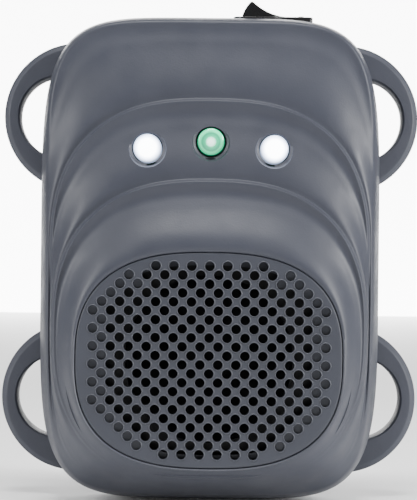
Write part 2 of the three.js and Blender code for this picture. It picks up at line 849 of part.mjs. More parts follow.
function board() {
  const shape = rectangle(-boardWidth / 2, boardWidth / 2, boardBottom, boardTop, 3);
  const holes = [0, 1].flatMap((k) =>
    discPair(boardPostX[k], boardPostZ[k], 0.9 + screwFit, boardDepth - 1, boardFace + 1),
  );
  const notches = discPair(caseScrewX, caseScrewZ, 4.6, boardDepth - 1, boardFace + 1, 16);
  return cut(solid(plate(shape, boardDepth, boardFace)), ...holes, ...notches);
}

add("main_board", board(), finishes.board);
[0, 1].forEach((k) => {
  [-1, 1].forEach((side, i) => {
    const screw = screwShape(1.9, 1.1, 0.9, 6);
    screw.rotateX(Math.PI);
    const place = { x: side * boardPostX[k], z: boardPostZ[k], depth: boardFace + 1.2 };
    add(`board_screw_${2 * k + i + 1}`, screw, finishes.steel, place);
  });
});
const onBoard = boardFace + touch;
add("controller_chip", block(-5, 5, onBoard, onBoard + 1.6, 3, 13), finishes.chip);
add("step_up_coil", disc(4.5, onBoard, onBoard + 6, -18, 8), finishes.copper);
add("capacitor_1", disc(2.5, onBoard, onBoard + 7, 15, 9, 16), finishes.can);
add("capacitor_2", disc(2.5, onBoard, onBoard + 7, 21.5, 9, 16), finishes.can);
add("battery_plug", block(-27, -20, onBoard, onBoard + 4, -6, -1), finishes.plug);
add("speaker_plug", block(20, 27, onBoard, onBoard + 4, -2, 3), finishes.plug);

/** Round lamp: two legs, a flange and a domed lens, its tip a little below the surface round it. */
function lampShape(x, z) {
  const front = frontDepth(x, z) - 0.35;
  const r = lampRadius;
  const lens = turned(
    [
      [0, front - 6.6],
      [r, front - 6.6],
      [r, front - 1.1],
      [r * 0.93, front - 0.6],
      [r * 0.7, front - 0.2],
      [r * 0.35, front - 0.04],
      [0, front],
    ],
    x,
    z,
    20,
  );
  const legs = [-1.27, 1.27].map((dx) =>
    solid(block(x + dx - 0.3, x + dx + 0.3, boardFace + touch, front - 6, z - 0.3, z + 0.3)),
  );
  return join(solid(lens), ...legs);
}

function spacerShape(x, z) {
  const far = frontDepth(x, z) - 0.35 - 6.6 - touch;
  const legSlot = block(x - 2, x + 2, onBoard - 1, far + 1, z - 0.7, z + 0.7);
  return cut(solid(disc(2.9, onBoard, far, x, z, 16)), solid(legSlot));
}

[
  ["strobe_lamp_left", "lamp_spacer_left", -lampX, lampZ, finishes.whiteLamp],
  ["indicator_lamp", "lamp_spacer_middle", 0, indicatorZ, finishes.greenLamp],
  ["strobe_lamp_right", "lamp_spacer_right", lampX, lampZ, finishes.whiteLamp],
].forEach(([lamp, spacer, x, z, material]) => {
  add(lamp, lampShape(x, z), material);
  add(spacer, spacerShape(x, z), finishes.tray);
});

// ---------------------------------------------------------------- speaker

const speakerBack = speakerPlateFront - 9.5;

function speakerFrame() {
  const rim = shrink(grilleEdge, 1.2);
  const tabs = speakerCorners.map(([x, z]) =>
    solid(disc(2.6, speakerPlateFront - speakerPlateThickness, speakerPlateFront, x, z, 12)),
  );
  const flange = solid(plate(curvePoints(rim), speakerPlateFront - speakerPlateThickness, speakerPlateFront));
  const top = grilleZ + speakerBossZ;
  const bar = solid(
    block(
      -speakerBossX,
      speakerBossX,
      speakerPlateFront - speakerPlateThickness,
      speakerPlateFront,
      top - 5,
      top,
    ),
  );
  const can = solid(disc(speakerRadius, speakerBack, speakerPlateFront - 0.5, 0, grilleZ, 32));
  return cut(
    join(flange, can, bar, ...tabs),
    solid(disc(speakerRadius - 1.2, speakerBack + 1.2, speakerPlateFront + 1, 0, grilleZ, 32)),
    ...speakerCorners.map(([x, z]) =>
      solid(disc(0.9 + screwFit, speakerBack, speakerPlateFront + 1, x, z, 12)),
    ),
  );
}

function coneShape() {
  const r = speakerRadius - 1.5;
  return turned(
    [
      [0, speakerBack + 3.2],
      [5, speakerBack + 3.2],
      [r, speakerPlateFront - 1.2],
      [r, speakerPlateFront - 0.6],
      [5, speakerBack + 3.8],
      [0, speakerBack + 3.8],
    ],
    0,
    grilleZ,
    32,
  );
}

add("speaker_frame", speakerFrame(), finishes.black);
add("speaker_cone", coneShape(), finishes.cone);
add("piezo_disc", disc(11, speakerBack + 1.9, speakerBack + 2.9, 0, grilleZ), finishes.brass);
add(
  "speaker_foam",
  plate(curvePoints(shrink(grilleEdge, 0.9)), speakerPlateFront + touch, ledgeBack - touch, [
    curvePoints(shrink(grilleEdge, 2.5)).reverse(),
  ]),
  finishes.rubber,
);
speakerCorners.forEach(([x, z], i) => {
  const depth = speakerPlateFront - speakerPlateThickness - 1.1;
  add(`speaker_screw_${i + 1}`, screwShape(1.8, 1, 0.9, 5.4), finishes.steel, { x, z, depth });
});

// ---------------------------------------------------------------- rocker switch

function switchHousing() {
  const y0 = switchDepth - switchBodyY;
  const y1 = switchDepth + switchBodyY;
  const x0 = switchX - switchBodyX;
  const x1 = switchX + switchBodyX;
  const lip = bezelLip;
  const bezel = block(x0 - lip, x1 + lip, y0 - lip, y1 + lip, switchTop - bezelHeight, switchTop);
  const pocket = block(
    switchX - switchHoleX,
    switchX + switchHoleX,
    switchDepth - switchHoleY,
    switchDepth + switchHoleY,
    switchFloor + 1,
    switchTop + 1,
  );
  const pivot = new THREE.CylinderGeometry(1.1, 1.1, 2 * switchBodyY - 0.6, 16);
  pivot.translate(switchX, -switchDepth, pivotZ);
  const slots = [0, -1].map((k) =>
    solid(
      block(
        switchX + 5 * k - 1.4,
        switchX + 5 * k + 1.4,
        switchDepth - 0.65,
        switchDepth + 0.65,
        switchFloor - 1,
        switchFloor + 2,
      ),
    ),
  );
  return cut(
    join(solid(block(x0, x1, y0, y1, switchFloor, switchTop)), solid(bezel)),
    solid(pocket),
    solid(pivot),
    ...slots,
  );
}

/** Rocker about its own pivot, level: dished top between two peaks, round end faces, hollow stem. */
function rockerShape() {
  const peak = THREE.MathUtils.degToRad(90 - rockerPeakAngle);
  const foot = THREE.MathUtils.degToRad(-14);
  const px = rockerReach * Math.cos(peak);
  const pz = rockerReach * Math.sin(peak);
  const steps = 8;
  const dish = Array.from({ length: steps + 1 }, (_, i) => {
    const t = -1 + (2 * i) / steps;
    return new THREE.Vector2(px * t, pz - rockerDish * (1 - t * t));
  });
  const arc = (from, to) =>
    Array.from({ length: 4 }, (_, i) => {
      const angle = THREE.MathUtils.lerp(from, to, (i + 1) / 4);
      return new THREE.Vector2(rockerReach * Math.cos(angle), rockerReach * Math.sin(angle));
    });
  const right = arc(peak, foot);
  const left = right.map((p) => new THREE.Vector2(-p.x, p.y)).reverse();
  const stem = [
    new THREE.Vector2(2.2, -1.8),
    new THREE.Vector2(2.2, -4.6),
    new THREE.Vector2(-2.2, -4.6),
    new THREE.Vector2(-2.2, -1.8),
  ];
  const geometry = new THREE.ExtrudeGeometry(new THREE.Shape([...dish, ...right, ...stem, ...left]), {
    depth: rockerThickness,
    bevelEnabled: false,
  });
  geometry.translate(0, 0, -rockerThickness / 2);
  geometry.rotateX(Math.PI / 2);
  const stub = new THREE.CylinderGeometry(1, 1, rockerThickness + 1.3, 16);
  const bore = new THREE.CylinderGeometry(1.4, 1.4, 5, 12);
  bore.rotateX(Math.PI / 2);
  bore.translate(0, 0, -4.5);
  return cut(join(solid(geometry), solid(stub)), solid(bore));
}

add("switch_housing", switchHousing(), finishes.black);
const rocker = new THREE.Group();
rocker.position.set(switchX, -switchDepth, pivotZ);
rocker.rotation.y = THREE.MathUtils.degToRad(rockerTilt);
unit.add(rocker);

/** Adds a piece to the tilted rocker, in the rocker's own frame. */
function addToRocker(name, shape, material) {
  const mesh = add(name, shape, material);
  rocker.add(mesh);
}

function plungerShape() {
  const profile = [
    [0, -8.2],
    [0.7, -8],
    [1.1, -7.3],
    [1.1, -3.9],
    [0, -3.9],
  ].map(([r, z]) => new THREE.Vector2(r, z));
  const geometry = new THREE.LatheGeometry(profile, 12);
  geometry.rotateX(Math.PI / 2);
  return facingOut(geometry);
}

function plungerSpring() {
  const geometry = new THREE.CylinderGeometry(0.9, 0.9, 1.5, 12);
  geometry.rotateX(Math.PI / 2);
  geometry.translate(0, 0, -3);
  return geometry;
}

addToRocker("rocker", rockerShape(), finishes.black);
addToRocker("plunger", plungerShape(), finishes.plug);
addToRocker("plunger_spring", plungerSpring(), finishes.steel);

const bladeZ = pivotZ - 8.6;
const bladeTilt = 6;
const blade = new THREE.CylinderGeometry(0.5, 0.5, 5, 8);
const bladeBody = join(solid(new THREE.BoxGeometry(10, 5, 0.5)), solid(blade));
const bladePlace = { x: switchX, depth: switchDepth, z: bladeZ };
const bladeMesh = add("contact_blade", bladeBody, finishes.brass, bladePlace);
bladeMesh.rotation.y = -THREE.MathUtils.degToRad(bladeTilt);

function terminalShape(x, top) {
  const middle = switchX + x;
  return block(middle - 1.2, middle + 1.2, switchDepth - 0.4, switchDepth + 0.4, switchFloor - 4, top);
}

add("terminal_common", terminalShape(0, bladeZ - 0.8), finishes.brass);
add("terminal_on", terminalShape(-5, bladeZ - 1.2), finishes.brass);

// ---------------------------------------------------------------- wires

const leadEndZ = switchFloor - 5.2;
const wires = [
  [
    "wire_battery_positive",
    finishes.red,
    [
      [15, 12, trayInnerTop + 2.2],
      [15, 11, 26],
      [14, 9, 32],
      [switchX, 7.6, leadEndZ],
    ],
  ],
  [
    "wire_switch_board",
    finishes.black,
    [
      [switchX - 5, 7.6, leadEndZ],
      [5, 11, 33],
      [0, 16, 32],
      [-3, 18.8, 32],
    ],
  ],
  [
    "wire_battery_negative",
    finishes.black,
    [
      [-15, 12, -42.6],
      [-16, 16, -44],
      [-19, 20.6, -43],
      [-23, 21.6, -32],
      [-25, 21.8, -16],
      [-24, 23.5, -7.2],
    ],
  ],
  [
    "wire_speaker_red",
    finishes.red,
    [
      [21.5, 22.4, -3.2],
      [21, 23, -8],
      [16, 23.4, -14],
      [8, 23.6, -19],
    ],
  ],
  [
    "wire_speaker_black",
    finishes.black,
    [
      [25.5, 22.4, -3.2],
      [25, 23, -10],
      [17, 23.4, -19],
      [8, 23.6, -24],
    ],
  ],
];
wires.forEach(([name, material, points]) => add(name, wire(points), material));

const root = new THREE.Group();
unit.position.z = -loopZ;
root.add(unit);

export default root;
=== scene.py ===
"""Builds the looks of a wall-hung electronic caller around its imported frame.

Lengths inside this file are millimetres about the middle of the case, with depth measured forwards
from the flat back; `place` turns them into the frame's metres. The front faces -Y and +Z is up.
"""

import math

import bpy
import numpy as np
from bpy.props import FloatProperty, FloatVectorProperty, IntProperty, PointerProperty
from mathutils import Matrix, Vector


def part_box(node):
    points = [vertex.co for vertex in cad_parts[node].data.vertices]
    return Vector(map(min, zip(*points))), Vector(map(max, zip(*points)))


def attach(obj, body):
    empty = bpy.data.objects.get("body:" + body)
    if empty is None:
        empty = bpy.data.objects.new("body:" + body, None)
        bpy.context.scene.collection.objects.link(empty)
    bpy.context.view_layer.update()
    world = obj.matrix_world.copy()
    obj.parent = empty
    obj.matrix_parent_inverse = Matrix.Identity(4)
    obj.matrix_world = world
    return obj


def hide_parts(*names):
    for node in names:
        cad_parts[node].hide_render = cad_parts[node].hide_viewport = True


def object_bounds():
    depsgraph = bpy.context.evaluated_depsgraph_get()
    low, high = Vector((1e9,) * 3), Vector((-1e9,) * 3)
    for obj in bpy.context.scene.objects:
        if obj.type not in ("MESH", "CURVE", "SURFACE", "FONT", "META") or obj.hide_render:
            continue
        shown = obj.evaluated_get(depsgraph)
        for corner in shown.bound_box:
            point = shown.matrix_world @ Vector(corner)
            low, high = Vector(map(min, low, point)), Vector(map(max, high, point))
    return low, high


bl_info = {
    "name": "Electronic caller",
    "version": (1, 0, 0),
    "blender": (4, 5, 0),
    "location": "View3D > Sidebar > Caller",
    "description": "Makes the shells, grille, lamps, switch and finishes of an electronic caller",
    "category": "Add Mesh",
}

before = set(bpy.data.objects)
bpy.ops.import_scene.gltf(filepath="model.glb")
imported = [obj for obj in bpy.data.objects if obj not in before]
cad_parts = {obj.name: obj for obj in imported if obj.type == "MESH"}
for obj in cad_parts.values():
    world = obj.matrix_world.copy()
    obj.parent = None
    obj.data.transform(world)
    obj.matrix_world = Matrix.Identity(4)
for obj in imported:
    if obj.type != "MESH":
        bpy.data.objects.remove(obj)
CAD_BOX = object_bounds()
MM = 0.001
SHELL_LOW, SHELL_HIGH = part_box("front_shell")
MIDDLE_Z = (SHELL_LOW.z + SHELL_HIGH.z) / 2
FACE = -SHELL_LOW.y / MM


# ---------------------------------------------------------------- frame values


def node_box(node):
    """A node's box in millimetres about the middle of the case: low and high as (x, depth, z)."""
    low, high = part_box(node)
    near = (low.x / MM, -high.y / MM, (low.z - MIDDLE_Z) / MM)
    far = (high.x / MM, -low.y / MM, (high.z - MIDDLE_Z) / MM)
    return np.array(near), np.array(far)


def node_middle(node):
    """The middle of a node's box as (x, depth, z)."""
    low, high = node_box(node)
    return (low + high) / 2


# ---------------------------------------------------------------- settings


class CallerShape(bpy.types.PropertyGroup):
    """Sizes that a maker would change; the rest come from the frame."""

    squareness: FloatProperty(
        name="Outline squareness", description="Exponent of the outline", default=5.0
    )
    wall: FloatProperty(
        name="Wall", description="Shell wall in millimetres", default=2.0, min=0.5
    )
    step: FloatProperty(
        name="Tier step", description="Height of each tier's step in millimetres", default=1.3
    )
    step_run: FloatProperty(
        name="Step run", description="Width of each tier's step in millimetres", default=0.8
    )
    hole_pitch: FloatProperty(
        name="Hole pitch", description="Spacing of the grille's holes in a row", default=3.75
    )
    hole_radius: FloatProperty(
        name="Hole radius", description="Radius of a grille hole", default=1.0, min=0.2
    )
    segments: IntProperty(
        name="Segments", description="Points around the case outline", default=360, min=32
    )


class CallerFinish(bpy.types.PropertyGroup):
    """Colours of the finishes."""

    shell: FloatVectorProperty(
        name="Shell",
        description="Moulded case plastic",
        subtype="COLOR",
        size=3,
        default=(0.034, 0.037, 0.050),
    )
    grille: FloatVectorProperty(
        name="Grille",
        description="Moulded grille plastic",
        subtype="COLOR",
        size=3,
        default=(0.032, 0.035, 0.046),
    )
    switch: FloatVectorProperty(
        name="Switch",
        description="Black switch plastic",
        subtype="COLOR",
        size=3,
        default=(0.008, 0.008, 0.009),
    )
    white_glow: FloatVectorProperty(
        name="White lamp",
        description="Light of the strobe lamps",
        subtype="COLOR",
        size=3,
        default=(0.95, 0.97, 1.0),
    )
    green_glow: FloatVectorProperty(
        name="Green lamp",
        description="Light of the indicator lamp",
        subtype="COLOR",
        size=3,
        default=(0.05, 0.9, 0.45),
    )


def shape():
    """The scene's sizes."""
    return bpy.context.scene.caller_shape


def finish():
    """The scene's colours."""
    return bpy.context.scene.caller_finish


# ---------------------------------------------------------------- curves


def closed_curve(a, top, bottom, squareness, low_squareness, z):
    """Rounded oval: half width, half heights above and below z, and the exponent of each half."""
    return {"a": a, "top": top, "bottom": bottom, "n": squareness, "low": low_squareness, "z": z}


def outline():
    """The case's outline, which fills the front shell's box."""
    half = (SHELL_HIGH.x - SHELL_LOW.x) / 2 / MM
    tall = (SHELL_HIGH.z - SHELL_LOW.z) / 2 / MM
    n = shape().squareness
    return closed_curve(half, tall, tall, n, n, 0.0)


def crest_one():
    """Crest of the outer step, with a squarer lower half."""
    return closed_curve(34.5, 34.5, 49.0, 2.6, 5.0, 0.0)


def crest_two():
    """Crest of the inner step, around the grille."""
    return closed_curve(33.55, 32.2, 32.6, 2.5, 2.6, -15.2)


def grille_edge():
    """The grille plate's edge."""
    low, high = node_box("speaker_grille")
    a, _, b = (high - low) / 2
    return closed_curve(a, b, b, 2.6, 2.6, (low[2] + high[2]) / 2)


def shrink(curve, by):
    """The same curve drawn in by some millimetres on every side."""
    return {**curve, "a": curve["a"] - by, "top": curve["top"] - by, "bottom": curve["bottom"] - by}


def curve_points(curve, count):
    """Closed curve at equal angles: x and z, with |x/a| to a power plus |z/b| to a power equal to 1."""
    angle = np.arange(count) * 2 * np.pi / count
    c, s = np.cos(angle), np.sin(angle)
    b = np.where(s < 0, curve["bottom"], curve["top"])
    n = np.where(s < 0, curve["low"], curve["n"])
    r = (np.abs(c / curve["a"]) ** n + np.abs(s / b) ** n) ** (-1 / n)
    return np.stack([r * c, curve["z"] + r * s], -1)


def inside(curve, x, z):
    """Distance inside a closed curve to first order: one minus the curve's value, over its slope."""
    dz = z - curve["z"]
    b = np.where(dz < 0, curve["bottom"], curve["top"])
    n = np.where(dz < 0, curve["low"], curve["n"])
    rho = (np.abs(x / curve["a"]) ** n + np.abs(dz / b) ** n) ** (1 / n)
    rho = np.maximum(rho, 0.05)
    slope = np.hypot(np.abs(x) ** (n - 1) / curve["a"] ** n, np.abs(dz) ** (n - 1) / b**n)
    return (1 - rho) / (rho ** (1 - n) * slope + 1e-12)


# ---------------------------------------------------------------- the stepped front

SEAM_DEPTH = 14.15
RIM_LAND = 0.8
WALL_SLOPE = 6.5
ROUNDING = 5.0
TIER_BASE = 25.0
TIER_RAMPS = (3.3, 3.7, 5.4)
TIER_DIP = 0.35
DIP_SHARE = 0.36
RAMP_START, RAMP_SHARE = 0.18, 0.77
CHIN = (26.5, 1.45, -40.0, 0.6)  # depth at the rim, slope, z above which it lets go, and how fast
PLAIN_BELOW, PLAIN_RUN = -46.0, 16.0  # the tiers fade out towards the bottom over this run


def smooth_step(t):
    """0 to 1 with a level start and end."""
    u = np.clip(t, 0, 1)
    return u * u * (3 - 2 * u)


def soft_min(a, b, k):
    """The lower of two heights, with the corner between them rounded over k."""
    h = np.clip(0.5 + 0.5 * (b - a) / k, 0, 1)
    return b + (a - b) * h - k * h * (1 - h)


def tier_rise(u, ramp):
    """A slight dip behind the crest, then a ramp that flattens before the next one."""
    dip = (1 - np.cos(2 * np.pi * np.minimum(u / DIP_SHARE, 1))) / 2
    return ramp * smooth_step((u - RAMP_START) / RAMP_SHARE) - TIER_DIP * dip


def front_depth(x, z, wall=0.0, face=0.0, chin=0.0):
    """Depth of the front skin: three ramps and two steps, limited by the side wall and the chin."""
    edge = np.maximum(inside(outline(), x, z), 0)
    one = inside(crest_one(), x, z)
    two = inside(crest_two(), x, z)
    three = inside(grille_edge(), x, z)
    tiny = 1e-6
    u0 = np.where(one > 0, 1, edge / (edge - np.minimum(one, 0) + tiny))
    u1 = np.where(two > 0, 1, np.maximum(one, 0) / (np.maximum(one, 0) - np.minimum(two, 0) + tiny))
    u2 = np.where(three > 0, 1, np.maximum(two, 0) / (np.maximum(two, 0) - np.minimum(three, 0) + tiny))
    height = TIER_BASE + sum(tier_rise(u, ramp) for u, ramp in zip((u0, u1, u2), TIER_RAMPS))
    run = shape().step_run
    height = height + shape().step * (smooth_step(one / run) + smooth_step(two / run))
    share = np.where(three > 0, 1, edge / (edge - np.minimum(three, 0) + tiny))
    plain = TIER_BASE + (FACE - TIER_BASE) * smooth_step(share)
    height = plain + (height - plain) * smooth_step((z - PLAIN_BELOW) / PLAIN_RUN)
    base, slope, release_z, release = CHIN
    slant = base + slope * edge + release * np.maximum(z - release_z, 0) - chin
    side = SEAM_DEPTH + RIM_LAND + WALL_SLOPE * (edge - wall)
    return soft_min(soft_min(height - face, slant, ROUNDING), side, ROUNDING)


# ---------------------------------------------------------------- mesh helpers


def place(points):
    """Points as x, depth, z in millimetres about the case's middle, to frame metres."""
    p = np.asarray(points, float)
    return np.stack([p[..., 0] * MM, -p[..., 1] * MM, p[..., 2] * MM + MIDDLE_Z], -1)


def make_object(name, verts, faces, sharp=35.0):
    """Mesh object from frame-metre points and a list of face arrays, faces turned outwards."""
    loops = np.concatenate([np.asarray(f).reshape(-1) for f in faces])
    sizes = np.concatenate([np.full(len(f), np.asarray(f).shape[1]) for f in faces])
    starts = np.concatenate([[0], np.cumsum(sizes)[:-1]])
    mesh = bpy.data.meshes.new(name)
    mesh.vertices.add(len(verts))
    mesh.vertices.foreach_set("co", np.asarray(verts, np.float32).reshape(-1))
    mesh.loops.add(len(loops))
    mesh.loops.foreach_set("vertex_index", loops.astype(np.int32))
    mesh.polygons.add(len(sizes))
    mesh.polygons.foreach_set("loop_start", starts.astype(np.int32))
    mesh.update(calc_edges=True)
    mesh.validate()
    obj = bpy.data.objects.new(name, mesh)
    bpy.context.scene.collection.objects.link(obj)
    face_out(mesh)
    shade(mesh, sharp)
    return obj


def face_out(mesh):
    """Turns the faces outwards when the volume they close comes out negative."""
    mesh.calc_loop_triangles()
    co = np.empty(len(mesh.vertices) * 3, np.float32)
    mesh.vertices.foreach_get("co", co)
    tri = np.empty(len(mesh.loop_triangles) * 3, np.int32)
    mesh.loop_triangles.foreach_get("vertices", tri)
    p = co.reshape(-1, 3)[tri.reshape(-1, 3)].astype(float)
    p = p - p.reshape(-1, 3).mean(0)
    if np.einsum("ij,ij->i", p[:, 0], np.cross(p[:, 1], p[:, 2])).sum() < 0:
        mesh.flip_normals()


def shade(mesh, sharp):
    """Smooth shading, broken at edges over an angle in degrees."""
    mesh.polygons.foreach_set("use_smooth", np.ones(len(mesh.polygons), bool))
    mesh.set_sharp_from_angle(angle=math.radians(sharp))


def grid_faces(rows, cols, wrap_rows=False, wrap_cols=True):
    """Quads over a grid of points numbered row by row."""
    r = np.arange(rows if wrap_rows else rows - 1)
    c = np.arange(cols if wrap_cols else cols - 1)
    i, j = np.meshgrid(r, c, indexing="ij")
    i2, j2 = (i + 1) % rows, (j + 1) % cols
    quads = np.stack([i * cols + j, i * cols + j2, i2 * cols + j2, i2 * cols + j], -1)
    return quads.reshape(-1, 4)


def skin(name, rings, close="caps", sharp=35.0):
    """Closed skin through rings (rows, around, xyz): capped at both ends, or wrapped into a loop."""
    rings = np.asarray(rings, float)
    rows, cols = rings.shape[:2]
    verts = rings.reshape(-1, 3)
    faces = [grid_faces(rows, cols, wrap_rows=close == "loop")]
    if close == "caps":
        middles = np.stack([rings[0].mean(0), rings[-1].mean(0)])
        verts = np.concatenate([verts, middles])
        j = np.arange(cols)
        j2 = (j + 1) % cols
        last = (rows - 1) * cols
        first_fan = np.stack([j2, j, np.full(cols, rows * cols)], -1)
        last_fan = np.stack([last + j, last + j2, np.full(cols, rows * cols + 1)], -1)
        faces += [first_fan, last_fan]
    return make_object(name, place(verts), faces, sharp)


def ring_at(curve, depth, count):
    """A closed curve as points at one depth."""
    p = curve_points(curve, count)
    return np.stack([p[:, 0], np.full(count, float(depth)), p[:, 1]], -1)


def turned(name, profile, x=0.0, z=0.0, count=64, sharp=35.0):
    """Turned piece about a line along the depth; the profile is (radius, depth) and ends on the line."""
    angle = np.arange(count) * 2 * np.pi / count
    rings = [
        np.stack([x + r * np.cos(angle), np.full(count, float(d)), z + r * np.sin(angle)], -1)
        for r, d in profile
    ]
    return skin(name, rings, sharp=sharp)


def rounded(points, radius, steps=5):
    """Open profile with each inner corner replaced by an arc-like curve of about the radius given."""
    pts = [np.asarray(p, float) for p in points]
    out = [pts[0]]
    for before, corner, after in zip(pts, pts[1:], pts[2:]):
        a, b = before - corner, after - corner
        reach = min(radius, 0.49 * np.linalg.norm(a), 0.49 * np.linalg.norm(b))
        start = corner + a / (np.linalg.norm(a) + 1e-12) * reach
        end = corner + b / (np.linalg.norm(b) + 1e-12) * reach
        t = np.linspace(0, 1, steps)[:, None]
        out.extend((1 - t) ** 2 * start + 2 * t * (1 - t) * corner + t**2 * end)
    out.append(pts[-1])
    return [tuple(p) for p in out]


def rounded_rectangle(x0, x1, z0, z1, r, steps=8):
    """Rectangle in X and Z with round corners."""
    quarter = np.linspace(0, np.pi / 2, steps)
    corners = ((x1 - r, z1 - r, 0), (x0 + r, z1 - r, 1), (x0 + r, z0 + r, 2), (x1 - r, z0 + r, 3))
    parts = [
        np.stack([cx + r * np.cos(quarter + k * np.pi / 2), cz + r * np.sin(quarter + k * np.pi / 2)], -1)
        for cx, cz, k in corners
    ]
    return np.concatenate(parts)


def slab(name, points, near, far, edge=0.0, sharp=35.0):
    """Flat outline in X and Z between two depths, with its rims rounded over `edge`."""
    p = np.asarray(points, float)
    middle = p.mean(0)
    levels = [(near, 0.0), (far, 0.0)]
    if edge:
        first = [(near, edge + 0.3), (near, edge), (near + edge * 0.3, edge * 0.3), (near + edge, 0.0)]
        last = [(far - edge, 0.0), (far - edge * 0.3, edge * 0.3), (far, edge), (far, edge + 0.3)]
        levels = first + last
    rings = []
    for depth, inset in levels:
        away = p - middle
        q = p - away / np.linalg.norm(away, axis=1, keepdims=True) * inset
        rings.append(np.stack([q[:, 0], np.full(len(q), depth), q[:, 1]], -1))
    return skin(name, rings, sharp=sharp)


def carve(obj, tool, operation="DIFFERENCE", sharp=35.0):
    """Cuts or joins with another object, which is then removed, and keeps the plain mesh."""
    step = obj.modifiers.new("carve", "BOOLEAN")
    step.object = tool
    step.operation = operation
    step.solver = "EXACT"
    bpy.context.view_layer.update()
    depsgraph = bpy.context.evaluated_depsgraph_get()
    result = bpy.data.meshes.new_from_object(obj.evaluated_get(depsgraph))
    obj.modifiers.clear()
    obj.data = result
    bpy.data.objects.remove(tool)
    shade(obj.data, sharp)
    return obj


# ---------------------------------------------------------------- materials


def shader(name):
    """Empty node material with a Principled shader; returns the material, its nodes, links and shader."""
    material = bpy.data.materials.new(name)
    material.use_nodes = True
    nodes, links = material.node_tree.nodes, material.node_tree.links
    return material, nodes, links, nodes["Principled BSDF"]


def noise(nodes, links, scale, detail=2.0, roughness=0.5):
    """Noise over the object's own coordinates."""
    coords = nodes.get("coords") or nodes.new("ShaderNodeTexCoord")
    coords.name = "coords"
    texture = nodes.new("ShaderNodeTexNoise")
    texture.inputs["Scale"].default_value = scale
    texture.inputs["Detail"].default_value = detail
    texture.inputs["Roughness"].default_value = roughness
    links.new(coords.outputs["Object"], texture.inputs["Vector"])
    return texture.outputs["Fac"]


def spread(nodes, links, value, low, high):
    """Maps the middle of a 0 to 1 value onto low..high."""
    step = nodes.new("ShaderNodeMapRange")
    step.inputs["From Min"].default_value = 0.3
    step.inputs["From Max"].default_value = 0.7
    step.inputs["To Min"].default_value = low
    step.inputs["To Max"].default_value = high
    links.new(value, step.inputs["Value"])
    return step.outputs["Result"]


def tint(nodes, links, value, dark, light):
    """Blends two colours by a value."""
    mix = nodes.new("ShaderNodeMix")
    mix.data_type = "RGBA"
    links.new(value, mix.inputs["Factor"])
    mix.inputs["A"].default_value = (*dark, 1)
    mix.inputs["B"].default_value = (*light, 1)
    return mix.outputs["Result"]


def bumps(nodes, links, target, layers):
    """Stacks bumps given as (height value, strength, distance in metres) onto a shader's normal."""
    normal = None
    for height, strength, distance in layers:
        bump = nodes.new("ShaderNodeBump")
        bump.inputs["Strength"].default_value = strength
        bump.inputs["Distance"].default_value = distance
        links.new(height, bump.inputs["Height"])
        if normal is not None:
            links.new(normal, bump.inputs["Normal"])
        normal = bump.outputs["Normal"]
    links.new(normal, target.inputs["Normal"])


def scaled(color, by):
    """A colour made lighter or darker, up to white."""
    return tuple(min(c * by, 1.0) for c in color)


def moulded(name, color, roughness=(0.42, 0.56), grain=2600.0, grain_depth=0.00003, vary=0.06):
    """Moulded plastic: fine spark-eroded grain, slow colour drift and uneven gloss."""
    material, nodes, links, bsdf = shader(name)
    bsdf.inputs["Specular IOR Level"].default_value = 0.4
    drift = spread(nodes, links, noise(nodes, links, 45.0, 3.0), 0.0, 1.0)
    hue = tint(nodes, links, drift, scaled(color, 1 - vary), scaled(color, 1 + vary))
    links.new(hue, bsdf.inputs["Base Color"])
    links.new(spread(nodes, links, noise(nodes, links, 160.0, 4.0), *roughness), bsdf.inputs["Roughness"])
    fine = noise(nodes, links, grain, 3.0, 0.6)
    coarse = noise(nodes, links, grain / 4, 2.0)
    bumps(nodes, links, bsdf, [(coarse, 0.25, grain_depth * 2), (fine, 0.6, grain_depth)])
    return material


def metal(name, color, roughness=(0.22, 0.4), brushed=False):
    """Metal with fine scratches, stretched along X when brushed."""
    material, nodes, links, bsdf = shader(name)
    bsdf.inputs["Metallic"].default_value = 1.0
    coords = nodes.new("ShaderNodeTexCoord")
    mapping = nodes.new("ShaderNodeMapping")
    mapping.inputs["Scale"].default_value = (0.08, 1, 1) if brushed else (1, 1, 1)
    texture = nodes.new("ShaderNodeTexNoise")
    texture.inputs["Scale"].default_value = 1800.0
    links.new(coords.outputs["Object"], mapping.inputs["Vector"])
    links.new(mapping.outputs["Vector"], texture.inputs["Vector"])
    stain = spread(nodes, links, noise(nodes, links, 220.0, 3.0), 0, 1)
    links.new(tint(nodes, links, stain, scaled(color, 0.86), color), bsdf.inputs["Base Color"])
    links.new(spread(nodes, links, texture.outputs["Fac"], *roughness), bsdf.inputs["Roughness"])
    bumps(nodes, links, bsdf, [(texture.outputs["Fac"], 0.3, 0.00002)])
    return material


def dress(obj, material, body):
    """Gives a new piece its finish and the body it moves with."""
    obj.data.materials.clear()
    obj.data.materials.append(material)
    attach(obj, body)
    return obj


def coat(node, material):
    """Gives a CAD node a better finish."""
    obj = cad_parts[node]
    for held in obj.material_slots:
        held.material = material
    if not obj.material_slots:
        obj.data.materials.append(material)


def finish_named(name, maker, *args, **kwargs):
    """A material made once and shared by its name."""
    return bpy.data.materials.get(name) or maker(name, *args, **kwargs)


def shell_plastic():
    """Fine-grained plastic of the front shell."""
    return finish_named("shell_plastic", moulded, tuple(finish().shell))


def loop_plastic():
    """Duller, coarser plastic of the rear shell and the door."""
    return finish_named("loop_plastic", moulded, tuple(finish().shell), (0.5, 0.65), 1500.0, 0.00006)


def grille_plastic():
    """Smoother plastic of the grille."""
    return finish_named("grille_plastic", moulded, tuple(finish().grille), (0.4, 0.5), 3200.0)


def switch_plastic():
    """Glossy black plastic of the switch."""
    return finish_named("switch_plastic", moulded, tuple(finish().switch), (0.25, 0.36), 1800.0, 0.00001)


# ---------------------------------------------------------------- front shell


